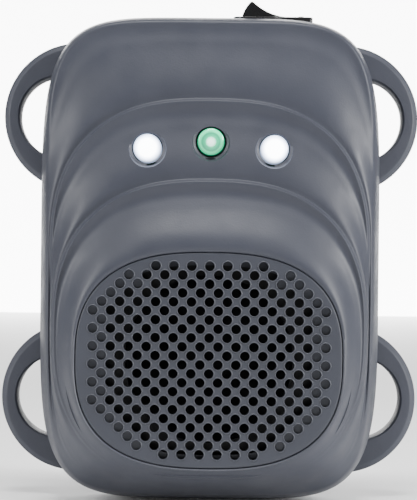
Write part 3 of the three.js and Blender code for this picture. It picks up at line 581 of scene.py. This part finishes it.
class CALLER_OT_front_shell(bpy.types.Operator):
    """Stepped front shell: a fine skin through rings laid along the crests, with lamp holes"""

    bl_idname = "caller.front_shell"
    bl_label = "Front shell"

    def execute(self, context):
        count = shape().segments
        rim = outline()
        one, two, mouth = crest_one(), crest_two(), grille_edge()
        run, wall = shape().step_run, shape().wall

        def across(start, end, shares, thin=(0.0, 0.0, 0.0)):
            """Rings between two closed curves, each point at the skin's depth."""
            p, q = curve_points(start, count), curve_points(end, count)
            flat = p + (q - p) * np.asarray(shares)[:, None, None]
            depth = front_depth(flat[..., 0], flat[..., 1], *thin)
            return np.stack([flat[..., 0], depth, flat[..., 1]], -1)

        def even(n):
            """Even shares from 0, short of 1."""
            return np.linspace(0, 1, n, endpoint=False)

        flush = grille_edge()
        seat_depth = node_box("speaker_grille")[0][1] - 0.1
        ledge_back = seat_depth - 1.6
        lip = [
            ring_at(shrink(flush, -0.45), FACE, count),
            ring_at(shrink(flush, -0.3), FACE - 0.08, count),
            ring_at(shrink(flush, -0.13), FACE - 0.3, count),
            ring_at(shrink(flush, -0.13), seat_depth, count),
            ring_at(shrink(flush, 2.6), seat_depth, count),
            ring_at(shrink(flush, 2.6), ledge_back, count),
            ring_at(shrink(flush, -2.5), ledge_back, count),
        ]
        thin = (wall, 2.2, 2.4)
        inner_rim = shrink(rim, wall)
        inner = across(inner_rim, shrink(flush, -3.4), np.linspace(0, 1, 24) ** 1.4, thin)[::-1]
        inner[..., 1] = np.minimum(inner[..., 1], ledge_back)
        rings = np.concatenate(
            [
                [ring_at(shrink(rim, 0.12), SEAM_DEPTH, count), ring_at(rim, SEAM_DEPTH + 0.12, count)],
                across(rim, one, even(44) ** 1.5),
                across(one, shrink(one, run), even(9)),
                across(shrink(one, run), two, even(26)),
                across(two, shrink(two, run), even(9)),
                across(shrink(two, run), shrink(mouth, -0.6), even(24)),
                np.array(lip),
                inner,
                [ring_at(inner_rim, SEAM_DEPTH, count)],
            ]
        )
        shell = skin("front_cover", rings, close="loop", sharp=50.0)
        for lamp in ("strobe_lamp_left", "indicator_lamp", "strobe_lamp_right"):
            carve(shell, lamp_cutter(lamp), sharp=50.0)
        dress(shell, shell_plastic(), "case")
        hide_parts("front_shell")
        return {"FINISHED"}


def lamp_cutter(lamp):
    """Round hole with a shallow dish whose rim is eased, about one lamp."""
    x, _, z = node_middle(lamp)
    level = float(front_depth(np.array(x), np.array(z)))
    profile = [
        (0, level - 9),
        (3.3, level - 9),
        (3.3, level - 1.05),
        (3.42, level - 0.9),
        (3.75, level - 0.85),
        (3.92, level - 0.6),
        (4.0, level - 0.1),
        (4.3, level + 1.4),
        (4.3, level + 5),
        (0, level + 5),
    ]
    return turned("lamp_cutter", profile, x, z, 72)


# ---------------------------------------------------------------- grille

LIP_HEIGHT = 0.11
ROW_HOLES = (7, 8, 7, 10, 11, 12, 11, 12, 11, 12, 11, 12, 11, 12, 11, 12, 11, 10, 9, 8, 7, 6)


class CALLER_OT_grille(bpy.types.Operator):
    """Oval grille plate with staggered round holes; most rows end in blind ones"""

    bl_idname = "caller.grille"
    bl_label = "Speaker grille"

    def execute(self, context):
        edge = grille_edge()
        low, high = node_box("speaker_grille")
        near, far = low[1], high[1] - LIP_HEIGHT
        count = 240
        rings = [
            ring_at(shrink(edge, 0.2), near, count),
            ring_at(edge, near + 0.2, count),
            ring_at(edge, far - 0.28, count),
            ring_at(shrink(edge, 0.06), far - 0.12, count),
            ring_at(shrink(edge, 0.18), far - 0.03, count),
            ring_at(shrink(edge, 0.35), far, count),
            ring_at(shrink(edge, 0.8), far, count),
        ]
        grille = skin("grille_plate", rings, sharp=50.0)
        through = (near - 1, [])
        blind = (far - 0.75, [])
        pitch = shape().hole_pitch
        rows = len(ROW_HOLES)
        for row, holes in enumerate(ROW_HOLES):
            z = edge["z"] + ((rows - 1) / 2 - row) * pitch / 2
            through[1].extend(((i - (holes - 1) / 2) * pitch, z) for i in range(holes))
            extra = 0 if row in (0, rows - 1) else 2 if row == 2 else 1
            for k in range(extra):
                reach = ((holes - 1) / 2 + 1 + k) * pitch
                blind[1].extend([(-reach, z), (reach, z)])
        carve(grille, hole_lips(through[1] + blind[1], far), "UNION", sharp=40.0)
        for bottom, places in (through, blind):
            carve(grille, hole_cutters(places, bottom, far + LIP_HEIGHT), sharp=40.0)
        dress(grille, grille_plastic(), "case")
        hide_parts("speaker_grille")
        return {"FINISHED"}


def repeated(name, profile, places, sides=16):
    """One turned closed shape at many places, as one mesh."""
    angle = np.arange(sides) * 2 * np.pi / sides
    radii, depths = np.array(profile).T
    ring = np.stack(
        [
            np.outer(radii, np.cos(angle)),
            np.repeat(depths[:, None], sides, 1),
            np.outer(radii, np.sin(angle)),
        ],
        -1,
    )
    rows = len(profile)
    spots = np.array([(x, 0.0, z) for x, z in places])
    verts = (ring.reshape(1, -1, 3) + spots[:, None, :]).reshape(-1, 3)
    first = np.arange(sides)[::-1][None, :]
    last = (rows - 1) * sides + np.arange(sides)[None, :]
    offset = (np.arange(len(places)) * rows * sides)[:, None, None]
    faces = [(f[None] + offset).reshape(-1, f.shape[1]) for f in (grid_faces(rows, sides), first, last)]
    return make_object(name, place(verts), faces)


def hole_lips(places, surface):
    """Low round pads that the holes are cut through, which leaves a raised lip about each."""
    r = shape().hole_radius
    profile = [
        (r + 0.26, surface - 0.3),
        (r + 0.26, surface + 0.01),
        (r + 0.21, surface + 0.6 * LIP_HEIGHT),
        (r + 0.13, surface + LIP_HEIGHT),
        (0.2, surface + LIP_HEIGHT),
    ]
    return repeated("hole_lips", profile, places)


def hole_cutters(places, bottom, top):
    """Straight-sided holes that flare a little into the lip."""
    r = shape().hole_radius
    profile = [
        (0.2, bottom),
        (r - 0.06, bottom),
        (r, bottom + 0.08),
        (r, top - 0.12),
        (r + 0.05, top - 0.03),
        (r + 0.1, top + 0.01),
        (r + 0.1, top + 0.5),
        (0.2, top + 0.5),
    ]
    return repeated("hole_cutters", profile, places)


# ---------------------------------------------------------------- rear shell

LOOP_AT = (30, 31.6)
LOOP_RADIUS, LOOP_THICKNESS, LOOP_BEVEL = 16.8, 7.0, 1.2
LOOP_HOLE, LOOP_HOLE_X = 9.1, 34.2
CASE_SCREW_AT = (28, 43.5)
BACK_ROUND = 2.5
PAST_TOP = 60


def corners(x, z):
    """The four places at plus or minus x and z."""
    return [(sx * x, sz * z) for sz in (1, -1) for sx in (-1, 1)]


def box_piece(name, x0, x1, near, far, z0, z1):
    """Plain box between two x, two depths and two z."""
    return slab(name, [(x1, z1), (x0, z1), (x0, z0), (x1, z0)], near, far)


def rod_x(name, r, x0, x1, depth, z, count=40):
    """Round rod along X with eased ends."""
    angle = np.arange(count) * 2 * np.pi / count
    levels = [(x0, r - 0.15), (x0 + 0.15, r), (x1 - 0.15, r), (x1, r - 0.15)]
    rings = [
        np.stack([np.full(count, x), depth + k * np.cos(angle), z + k * np.sin(angle)], -1) for x, k in levels
    ]
    return skin(name, rings)


def loop_ring(x, z):
    """Flat round loop with a bevelled front rim and an off-centre hole."""
    radius, thickness, bevel, hole = LOOP_RADIUS, LOOP_THICKNESS, LOOP_BEVEL, LOOP_HOLE
    rim = [
        (0, 0.04),
        (radius - 0.5, 0.04),
        (radius, 0.5),
        (radius, thickness - bevel),
        (radius - bevel, thickness),
        (0, thickness),
    ]
    ring = turned("loop", rounded(rim, 0.25, 4), x, z, 160)
    bore = [(0, -1), (hole + 0.3, -1), (hole + 0.3, 0.2), (hole, 0.5), (hole, thickness - 0.5)]
    bore += [(hole + 0.15, thickness - 0.2), (hole + 0.5, thickness + 0.05), (hole + 0.5, 9), (0, 9)]
    return carve(ring, turned("loop_bore", bore, math.copysign(LOOP_HOLE_X, x), z, 120))


class CALLER_OT_rear_shell(bpy.types.Operator):
    """Rear shell with a rounded back edge, four hanging loops, a battery opening and screw wells"""

    bl_idname = "caller.rear_shell"
    bl_label = "Rear shell"

    def execute(self, context):
        count = shape().segments
        rim = outline()
        wall = shape().wall + 0.4
        turn = np.linspace(0, np.pi / 2, 9)
        edge = [
            ring_at(shrink(rim, BACK_ROUND * (1 - np.sin(a))), BACK_ROUND * (1 - np.cos(a)), count)
            for a in turn
        ]
        seam = [ring_at(rim, 13.7, count), ring_at(shrink(rim, 0.15), 13.85, count)]
        flat = [ring_at(shrink(rim, 2.9), 0, count)]
        shell = skin("rear_cover", [*flat, *edge, *seam])
        for x, z in corners(*LOOP_AT):
            carve(shell, loop_ring(x, z), "UNION")
        inner = shrink(rim, wall)
        carve(shell, skin("cavity", [ring_at(inner, 2.4, count), ring_at(inner, 16, count)]))
        for x, z in corners(*CASE_SCREW_AT):
            carve(shell, turned("boss", [(0, 1.2), (4, 1.2), (4, 13.8), (0, 13.8)], x, z, 48), "UNION")
            well = [(0, -1), (3.35, -1), (3.35, 0), (3, 0.35), (3, 8), (1.6, 8), (1.6, 15), (0, 15)]
            carve(shell, turned("well", well, x, z, 48))
        door_low, door_high = node_box("battery_door")
        x1, z0, z1 = door_high[0] + 0.3, door_low[2] - 0.35, door_high[2] + 0.3
        carve(shell, slab("opening", rounded_rectangle(-x1, x1, z0, z1, 1.0), -1, 3.4))
        hinge = node_middle("door_hinge_pin")
        for a, b in ((-x1 - 0.5, -20.4), (-7.6, 7.6), (20.4, x1 + 0.5)):
            carve(shell, box_piece("lug", a, b, 0.3, 4.8, z0 - 1, hinge[2] + 1.7), "UNION")
        low, high = node_box("switch_housing")
        for name, gap, bottom in (("well", -0.4, low[2] - 0.1), ("rim", 0.1, high[2] - 1.3)):
            sides = (low[0] - gap, high[0] + gap, low[1] - gap, high[1] + gap)
            carve(shell, box_piece(name, *sides, bottom, PAST_TOP))
        dress(shell, loop_plastic(), "case")
        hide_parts("rear_shell")
        return {"FINISHED"}


# ---------------------------------------------------------------- battery door


class CALLER_OT_battery_door(bpy.types.Operator):
    """Flat battery door with hinge barrels, a screw well, grip grooves and a finger notch"""

    bl_idname = "caller.battery_door"
    bl_label = "Battery door"

    def execute(self, context):
        high = node_box("battery_door")[1]
        hinge = node_middle("door_hinge_pin")
        half, top = high[0], high[2]
        panel = rounded_rectangle(-half, half, hinge[2], top, 0.7)
        door = slab("door_panel", panel, 0.0, 1.6, 0.25)
        for a, b in ((-half - 1, -20), (-8, 8), (20, half + 1)):
            carve(door, box_piece("relief", a, b, -1, 3, hinge[2] - 1, hinge[2] + 2.3))
        for a, b in ((-20, -8), (8, 20)):
            carve(door, rod_x("barrel", 2.395, a, b, hinge[1], hinge[2]), "UNION")
        screw = node_middle("door_screw")
        well = [(0, -1), (3.15, -1), (3.15, 0), (2.9, 0.25), (2.9, 0.8), (1.65, 0.8), (1.65, 3), (0, 3)]
        carve(door, turned("well", well, screw[0], screw[2], 48))
        carve(door, slab("notch", rounded_rectangle(-7, 7, top - 1.6, top + 2, 0.8), -1, 0.7))
        for k in range(5):
            z = top - 9.5 - 2.2 * k
            carve(door, slab("groove", rounded_rectangle(-9, 9, z - 0.5, z + 0.5, 0.49), -1, 0.4))
        dress(door, loop_plastic(), "door")
        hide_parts("battery_door")
        return {"FINISHED"}


# ---------------------------------------------------------------- lamps

LENS_RADIUS, LENS_DOME, LENS_LENGTH = 3.05, 1.1, 6.6


def lamp_light(name, middle, glow, stops):
    """Lamp lens lit by distance from its own axis; each stop is (share of the radius, light, colour)."""
    material, nodes, links, bsdf = shader(name)
    bsdf.inputs["Roughness"].default_value = 0.12
    bsdf.inputs["Coat Weight"].default_value = 0.6
    coords = nodes.new("ShaderNodeTexCoord")
    away = nodes.new("ShaderNodeVectorMath")
    away.operation = "SUBTRACT"
    away.inputs[1].default_value = tuple(place(middle))
    flat = nodes.new("ShaderNodeVectorMath")
    flat.operation = "MULTIPLY"
    flat.inputs[1].default_value = (1, 0, 1)
    length = nodes.new("ShaderNodeVectorMath")
    length.operation = "LENGTH"
    links.new(coords.outputs["Object"], away.inputs[0])
    links.new(away.outputs[0], flat.inputs[0])
    links.new(flat.outputs[0], length.inputs[0])
    share = nodes.new("ShaderNodeMapRange")
    share.inputs["From Max"].default_value = LENS_RADIUS * MM
    links.new(length.outputs["Value"], share.inputs["Value"])
    hue, level = nodes.new("ShaderNodeValToRGB"), nodes.new("ShaderNodeValToRGB")
    for ramp, values in (
        (hue, [(at, color) for at, _, color in stops]),
        (level, [(at, (light, light, light)) for at, light, _ in stops]),
    ):
        points = ramp.color_ramp.elements
        while len(points) < len(values):
            points.new(0.5)
        for point, (at, color) in zip(points, values):
            point.position = at
            point.color = (*color, 1)
        links.new(share.outputs["Result"], ramp.inputs["Fac"])
    strength = nodes.new("ShaderNodeMath")
    strength.operation = "MULTIPLY"
    strength.inputs[1].default_value = glow
    links.new(level.outputs["Color"], strength.inputs[0])
    links.new(strength.outputs[0], bsdf.inputs["Emission Strength"])
    links.new(hue.outputs["Color"], bsdf.inputs["Emission Color"])
    links.new(hue.outputs["Color"], bsdf.inputs["Base Color"])
    return material


class CALLER_OT_lamps(bpy.types.Operator):
    """Three domed lamps, each set in a shallow dish: two white strobes and a green indicator"""

    bl_idname = "caller.lamps"
    bl_label = "Lamps"

    def execute(self, context):
        white, green = tuple(finish().white_glow), tuple(finish().green_glow)
        dark = scaled(green, 0.12)
        bright = (0.06, 0.9, 0.42)
        strobe = [
            (0.0, 1.0, white),
            (0.62, 1.0, white),
            (0.8, 0.55, (0.72, 0.8, 1.0)),
            (1.0, 0.2, (0.3, 0.36, 0.5)),
        ]
        ready = [
            (0.0, 1.5, (0.85, 1.0, 0.94)),
            (0.26, 1.1, (0.6, 1.0, 0.8)),
            (0.4, 0.35, (0.03, 0.6, 0.3)),
            (0.62, 0.25, (0.02, 0.4, 0.2)),
            (0.78, 0.8, bright),
            (0.88, 0.6, bright),
            (0.98, 0.04, dark),
        ]
        for node, slot, glow, stops in (
            ("strobe_lamp_left", "white_lamp", 12.0, strobe),
            ("strobe_lamp_right", "white_lamp", 12.0, strobe),
            ("indicator_lamp", "green_lamp", 1.0, ready),
        ):
            middle, front = node_middle(node), node_box(node)[1][1]
            turn = np.linspace(0, np.pi / 2, 14)
            dome = [
                (LENS_RADIUS * np.cos(a), front - LENS_DOME + LENS_DOME * np.sin(a)) for a in turn[:-1]
            ]
            back = front - LENS_LENGTH
            profile = [(0.01, back), (LENS_RADIUS, back), *dome, (0.01, front)]
            lens = turned(f"{node}_lens", profile, middle[0], middle[2], 72)
            dress(lens, lamp_light(f"{node}_light", middle, glow, stops), "case")
            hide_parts(node)
        return {"FINISHED"}


# ---------------------------------------------------------------- switch

PIVOT_DROP = 1.6
ROCKER_REACH, ROCKER_DISH, ROCKER_HALF = 7.15, 1.5, 4.0
ROCKER_PEAK, ROCKER_FOOT, ROCKER_REST = math.radians(32), math.radians(-14), math.radians(16)


def switch_pivot():
    """The rocker's tilt line as (x, depth, z)."""
    middle, top = node_middle("switch_housing"), node_box("switch_housing")[1][2]
    return middle[0], middle[1], top - PIVOT_DROP


class CALLER_OT_switch(bpy.types.Operator):
    """Black rocker with a dished top between two peaks, in a housing with an eased rim"""

    bl_idname = "caller.switch"
    bl_label = "Rocker switch"

    def execute(self, context):
        x, depth, z = switch_pivot()
        reach, dish, half = ROCKER_REACH, ROCKER_DISH, ROCKER_HALF
        peak, foot, tilt = ROCKER_PEAK, ROCKER_FOOT, ROCKER_REST
        px, pz = reach * math.cos(peak), reach * math.sin(peak)
        top = [(px * t, pz - dish * (1 - t * t)) for t in np.linspace(-1, 1, 15)]
        side = [(reach * math.cos(a), reach * math.sin(a)) for a in np.linspace(peak, foot, 9)[1:]]
        stem = [(2.2, -1.8), (2.2, -4.6), (-2.2, -4.6), (-2.2, -1.8)]
        far_side = [(-a, b) for a, b in side][::-1]
        path = [(0, -4.6), *stem[2:], *far_side, *top, *side, *stem[:2], (0, -4.6)]
        profile = np.array(rounded(path, 0.4, 5))[:-1]
        turned_x = profile[:, 0] * math.cos(tilt) + profile[:, 1] * math.sin(tilt)
        turned_z = profile[:, 1] * math.cos(tilt) - profile[:, 0] * math.sin(tilt)
        points = np.stack([x + turned_x, z + turned_z], -1)
        rocker = slab("rocker_key", points, depth - half, depth + half, 0.35)
        dress(rocker, switch_plastic(), "rocker")
        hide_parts("rocker")

        low, high = node_box("switch_housing")
        levels = [
            (low[2], 0.5),
            (high[2] - 1.2, 0.5),
            (high[2] - 1.2, 0.0),
            (high[2] - 0.3, 0.0),
            (high[2] - 0.08, 0.12),
            (high[2], 0.4),
            (high[2], 1.05),
            (high[2] - 0.12, 1.3),
            (high[2] - 0.5, 1.4),
            (low[2] + 0.95, 1.4),
        ]
        rings = []
        for level, inset in levels:
            corner = max(0.9 - inset * 0.4, 0.3)
            edge = rounded_rectangle(low[0] + inset, high[0] - inset, low[1] + inset, high[1] - inset, corner)
            rings.append(np.stack([edge[:, 0], edge[:, 1], np.full(len(edge), level)], -1))
        housing = skin("switch_bezel", rings)
        dress(housing, switch_plastic(), "case")
        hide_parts("switch_housing")
        return {"FINISHED"}


# ---------------------------------------------------------------- screws


class CALLER_OT_back_screws(bpy.types.Operator):
    """Round-headed screws with a cross recess, for the case and the battery door"""

    bl_idname = "caller.back_screws"
    bl_label = "Back screws"

    def execute(self, context):
        for node in ("case_screw_1", "case_screw_2", "case_screw_3", "case_screw_4", "door_screw"):
            low, high = node_box(node)
            (x, _, z), radius, back = node_middle(node), (high[0] - low[0]) / 2, low[1]
            head = [(0, back), (radius * 0.6, back), (radius * 0.93, back + 0.35), (radius, back + 0.8)]
            core = radius * 0.48
            shank = [(radius, back + 1.6), (core, back + 1.7), (core, high[1]), (0, high[1])]
            screw = turned(f"{node}_cross", head + shank, x, z, 48)
            for wide, tall in ((0.55, 0.14), (0.14, 0.55)):
                slot = (x - radius * wide, x + radius * wide, back - 1, back + 0.9)
                carve(screw, box_piece("recess", *slot, z - radius * tall, z + radius * tall))
            steel = finish_named("screw_steel", metal, (0.4, 0.41, 0.43), (0.3, 0.48))
            dress(screw, steel, "door" if node == "door_screw" else "case")
            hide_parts(node)
        return {"FINISHED"}


# ---------------------------------------------------------------- inner finishes


def cell_wrap(name, cell, plus_up=True):
    """Printed cell sleeve: dark body, with a paler band at the plus end."""
    material, nodes, links, bsdf = shader(name)
    low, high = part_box(cell)
    start, end = (low.z, high.z) if plus_up else (high.z, low.z)
    coords = nodes.new("ShaderNodeTexCoord")
    split = nodes.new("ShaderNodeSeparateXYZ")
    links.new(coords.outputs["Object"], split.inputs["Vector"])
    share = nodes.new("ShaderNodeMapRange")
    share.inputs["From Min"].default_value = start
    share.inputs["From Max"].default_value = end
    links.new(split.outputs["Z"], share.inputs["Value"])
    bands = nodes.new("ShaderNodeValToRGB")
    bands.color_ramp.interpolation = "CONSTANT"
    points = bands.color_ramp.elements
    sleeve, band = (0.03, 0.07, 0.05), (0.45, 0.32, 0.12)
    for at, color in ((0.3, sleeve), (0.34, (0.02, 0.05, 0.035)), (0.72, band)):
        points.new(at).color = (*color, 1)
    points[0].color = (*sleeve, 1)
    points[-1].color = (*band, 1)
    links.new(share.outputs["Result"], bands.inputs["Fac"])
    links.new(bands.outputs["Color"], bsdf.inputs["Base Color"])
    links.new(spread(nodes, links, noise(nodes, links, 400.0), 0.25, 0.4), bsdf.inputs["Roughness"])
    bumps(nodes, links, bsdf, [(noise(nodes, links, 900.0), 0.2, 0.00002)])
    return material


def circuit_board(name):
    """Green solder mask over a lattice of tracks, with slightly raised copper."""
    material, nodes, links, bsdf = shader(name)
    coords = nodes.new("ShaderNodeTexCoord")
    turn = nodes.new("ShaderNodeMapping")
    turn.inputs["Rotation"].default_value = (math.pi / 2, 0, 0)
    tracks = nodes.new("ShaderNodeTexBrick")
    tracks.inputs["Scale"].default_value = 260.0
    tracks.inputs["Mortar Size"].default_value = 0.06
    tracks.inputs["Color1"].default_value = (0.012, 0.09, 0.035, 1)
    tracks.inputs["Color2"].default_value = (0.015, 0.11, 0.04, 1)
    tracks.inputs["Mortar"].default_value = (0.05, 0.2, 0.08, 1)
    links.new(coords.outputs["Object"], turn.inputs["Vector"])
    links.new(turn.outputs["Vector"], tracks.inputs["Vector"])
    links.new(tracks.outputs["Color"], bsdf.inputs["Base Color"])
    links.new(spread(nodes, links, noise(nodes, links, 700.0), 0.25, 0.45), bsdf.inputs["Roughness"])
    bumps(nodes, links, bsdf, [(tracks.outputs["Fac"], 0.4, 0.00004)])
    return material


def node_finishes():
    """Each CAD node's name start, with the material for it."""
    steel = metal("bright_steel", (0.4, 0.41, 0.43), (0.3, 0.48), brushed=True)
    brass = metal("brass", (0.72, 0.52, 0.22))
    nickel = metal("nickel", (0.6, 0.57, 0.5))
    rubber = moulded("rubber", (0.012, 0.012, 0.013), (0.7, 0.9), 1400.0, 0.00006)
    plain_black = moulded("black_plastic", (0.005, 0.005, 0.006), (0.3, 0.45))
    red, cream = (0.4, 0.015, 0.012), (0.75, 0.7, 0.58)
    return {
        "case_screw": steel,
        "tray_screw": steel,
        "board_screw": steel,
        "speaker_screw": steel,
        "door_screw": steel,
        "door_hinge_pin": steel,
        "plunger_spring": steel,
        "contact_blade": brass,
        "contact_": nickel,
        "terminal_": brass,
        "piezo_disc": brass,
        "case_gasket": rubber,
        "door_seal": rubber,
        "speaker_foam": moulded("foam", (0.005, 0.005, 0.006), (0.85, 1.0), 900.0, 0.0002),
        "speaker_frame": plain_black,
        "lamp_spacer": plain_black,
        "plunger": plain_black,
        "battery_tray": moulded("tray_plastic", (0.012, 0.014, 0.016), (0.5, 0.65)),
        "battery_plug": moulded("plug_plastic", cream, (0.4, 0.55)),
        "speaker_plug": moulded("connector_plastic", cream, (0.4, 0.55)),
        "battery_1": cell_wrap("outer_cell_wrap", "battery_1"),
        "battery_3": cell_wrap("last_cell_wrap", "battery_3"),
        "battery_2": cell_wrap("middle_cell_wrap", "battery_2", plus_up=False),
        "main_board": circuit_board("circuit_board"),
        "controller_chip": moulded("chip_resin", (0.012, 0.012, 0.014), (0.5, 0.7), 3500.0),
        "step_up_coil": metal("copper", (0.7, 0.35, 0.16), brushed=True),
        "capacitor": moulded("can_sleeve", (0.012, 0.02, 0.06), (0.25, 0.4), 800.0, 0.00001),
        "speaker_cone": moulded("cone_film", (0.006, 0.006, 0.007), (0.7, 0.9), 500.0, 0.00008, 0.15),
        "wire_battery_positive": moulded("red_wire", red, (0.35, 0.5), 900.0),
        "wire_switch_board": moulded("red_lead", red, (0.35, 0.5), 900.0),
        "wire_speaker_red": moulded("red_pair", red, (0.35, 0.5), 900.0),
        "wire_": moulded("black_wire", (0.01, 0.01, 0.01), (0.35, 0.5), 900.0),
    }


class CALLER_OT_inner_finishes(bpy.types.Operator):
    """Finish for every piece of the frame: steel, brass, rubber, board, cells, wires and speaker"""

    bl_idname = "caller.inner_finishes"
    bl_label = "Inner finishes"

    def execute(self, context):
        finishes = node_finishes()
        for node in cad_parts:
            matches = [start for start in finishes if node.startswith(start)]
            coat(node, finishes[max(matches, key=len)] if matches else shell_plastic())
        return {"FINISHED"}


# ---------------------------------------------------------------- stage

PAPER = (0.9, 0.9, 0.9, 1)
WHITE = (1, 1, 1, 1)
CAMERA_AT = (-0.0003, -0.434, -0.0298)
CAMERA_ROLL = math.radians(-0.6)


def area_light(name, at, to, size, power, color=(1, 1, 1)):
    """Soft rectangular light aimed at a point."""
    lamp = bpy.data.lights.new(name, "AREA")
    lamp.shape = "RECTANGLE"
    lamp.size, lamp.size_y = size
    lamp.energy = power
    lamp.color = color
    obj = bpy.data.objects.new(name, lamp)
    bpy.context.scene.collection.objects.link(obj)
    obj.location = at
    obj.rotation_euler = (Vector(to) - Vector(at)).to_track_quat("-Z", "Y").to_euler()
    return obj


class CALLER_OT_stage(bpy.types.Operator):
    """Pale floor, lit white wall behind, soft lights above and at both sides, and the camera"""

    bl_idname = "caller.stage"
    bl_label = "Stage"

    def execute(self, context):
        floor_z = CAD_BOX[0].z - 0.0005
        middle = (0.0, -0.02, MIDDLE_Z)
        bpy.ops.mesh.primitive_plane_add(size=6.0, location=(0, 0, floor_z))
        floor = bpy.context.object
        floor.name = "floor"
        material, _, _, bsdf = shader("pale_floor")
        bsdf.inputs["Base Color"].default_value = PAPER
        bsdf.inputs["Roughness"].default_value = 0.8
        floor.data.materials.append(material)

        bpy.ops.mesh.primitive_plane_add(size=0.9, location=(0, 1.2, 0.2), rotation=(math.pi / 2, 0, 0))
        wall = bpy.context.object
        wall.name = "white_wall"
        paper, _, _, glow = shader("lit_paper")
        glow.inputs["Base Color"].default_value = PAPER
        glow.inputs["Emission Color"].default_value = WHITE
        glow.inputs["Emission Strength"].default_value = 9.0
        wall.data.materials.append(paper)

        world = bpy.data.worlds.new("studio")
        world.use_nodes = True
        sky = world.node_tree.nodes["Background"]
        sky.inputs["Color"].default_value = WHITE
        sky.inputs["Strength"].default_value = 0.2
        context.scene.world = world
        area_light("top_light", (0.0, -0.14, 0.5), middle, (0.3, 0.12), 3.9)
        area_light("right_light", (0.46, -0.22, 0.08), middle, (0.06, 0.4), 5.0)
        area_light("left_light", (-0.46, -0.22, 0.12), middle, (0.06, 0.4), 2.7)

        lens = bpy.data.cameras.new("camera")
        lens.lens = 136.0
        lens.clip_start = 0.01
        camera = bpy.data.objects.new("camera", lens)
        context.scene.collection.objects.link(camera)
        camera.location = CAMERA_AT
        camera.rotation_euler = (math.pi / 2, CAMERA_ROLL, 0)
        context.scene.camera = camera
        return {"FINISHED"}


# ---------------------------------------------------------------- panel and registration

STEPS = (
    CALLER_OT_front_shell,
    CALLER_OT_grille,
    CALLER_OT_rear_shell,
    CALLER_OT_battery_door,
    CALLER_OT_lamps,
    CALLER_OT_switch,
    CALLER_OT_back_screws,
    CALLER_OT_inner_finishes,
    CALLER_OT_stage,
)


class CALLER_PT_panel(bpy.types.Panel):
    """Sizes, colours and one button for each step"""

    bl_idname = "CALLER_PT_panel"
    bl_label = "Electronic caller"
    bl_space_type = "VIEW_3D"
    bl_region_type = "UI"
    bl_category = "Caller"

    def draw(self, context):
        layout = self.layout
        for group in (context.scene.caller_shape, context.scene.caller_finish):
            for name in group.__annotations__:
                layout.prop(group, name)
        for step in STEPS:
            layout.operator(step.bl_idname)


CLASSES = (CallerShape, CallerFinish, *STEPS, CALLER_PT_panel)


def register():
    """Adds the classes and the two groups of settings."""
    for cls in CLASSES:
        bpy.utils.register_class(cls)
    bpy.types.Scene.caller_shape = PointerProperty(type=CallerShape)
    bpy.types.Scene.caller_finish = PointerProperty(type=CallerFinish)


def unregister():
    """Takes them away again."""
    del bpy.types.Scene.caller_finish
    del bpy.types.Scene.caller_shape
    for cls in reversed(CLASSES):
        bpy.utils.unregister_class(cls)


def main():
    """Runs every step in order."""
    register()
    for step in STEPS:
        group, name = step.bl_idname.split(".")
        getattr(getattr(bpy.ops, group), name)()


if __name__ == "__main__":
    main()
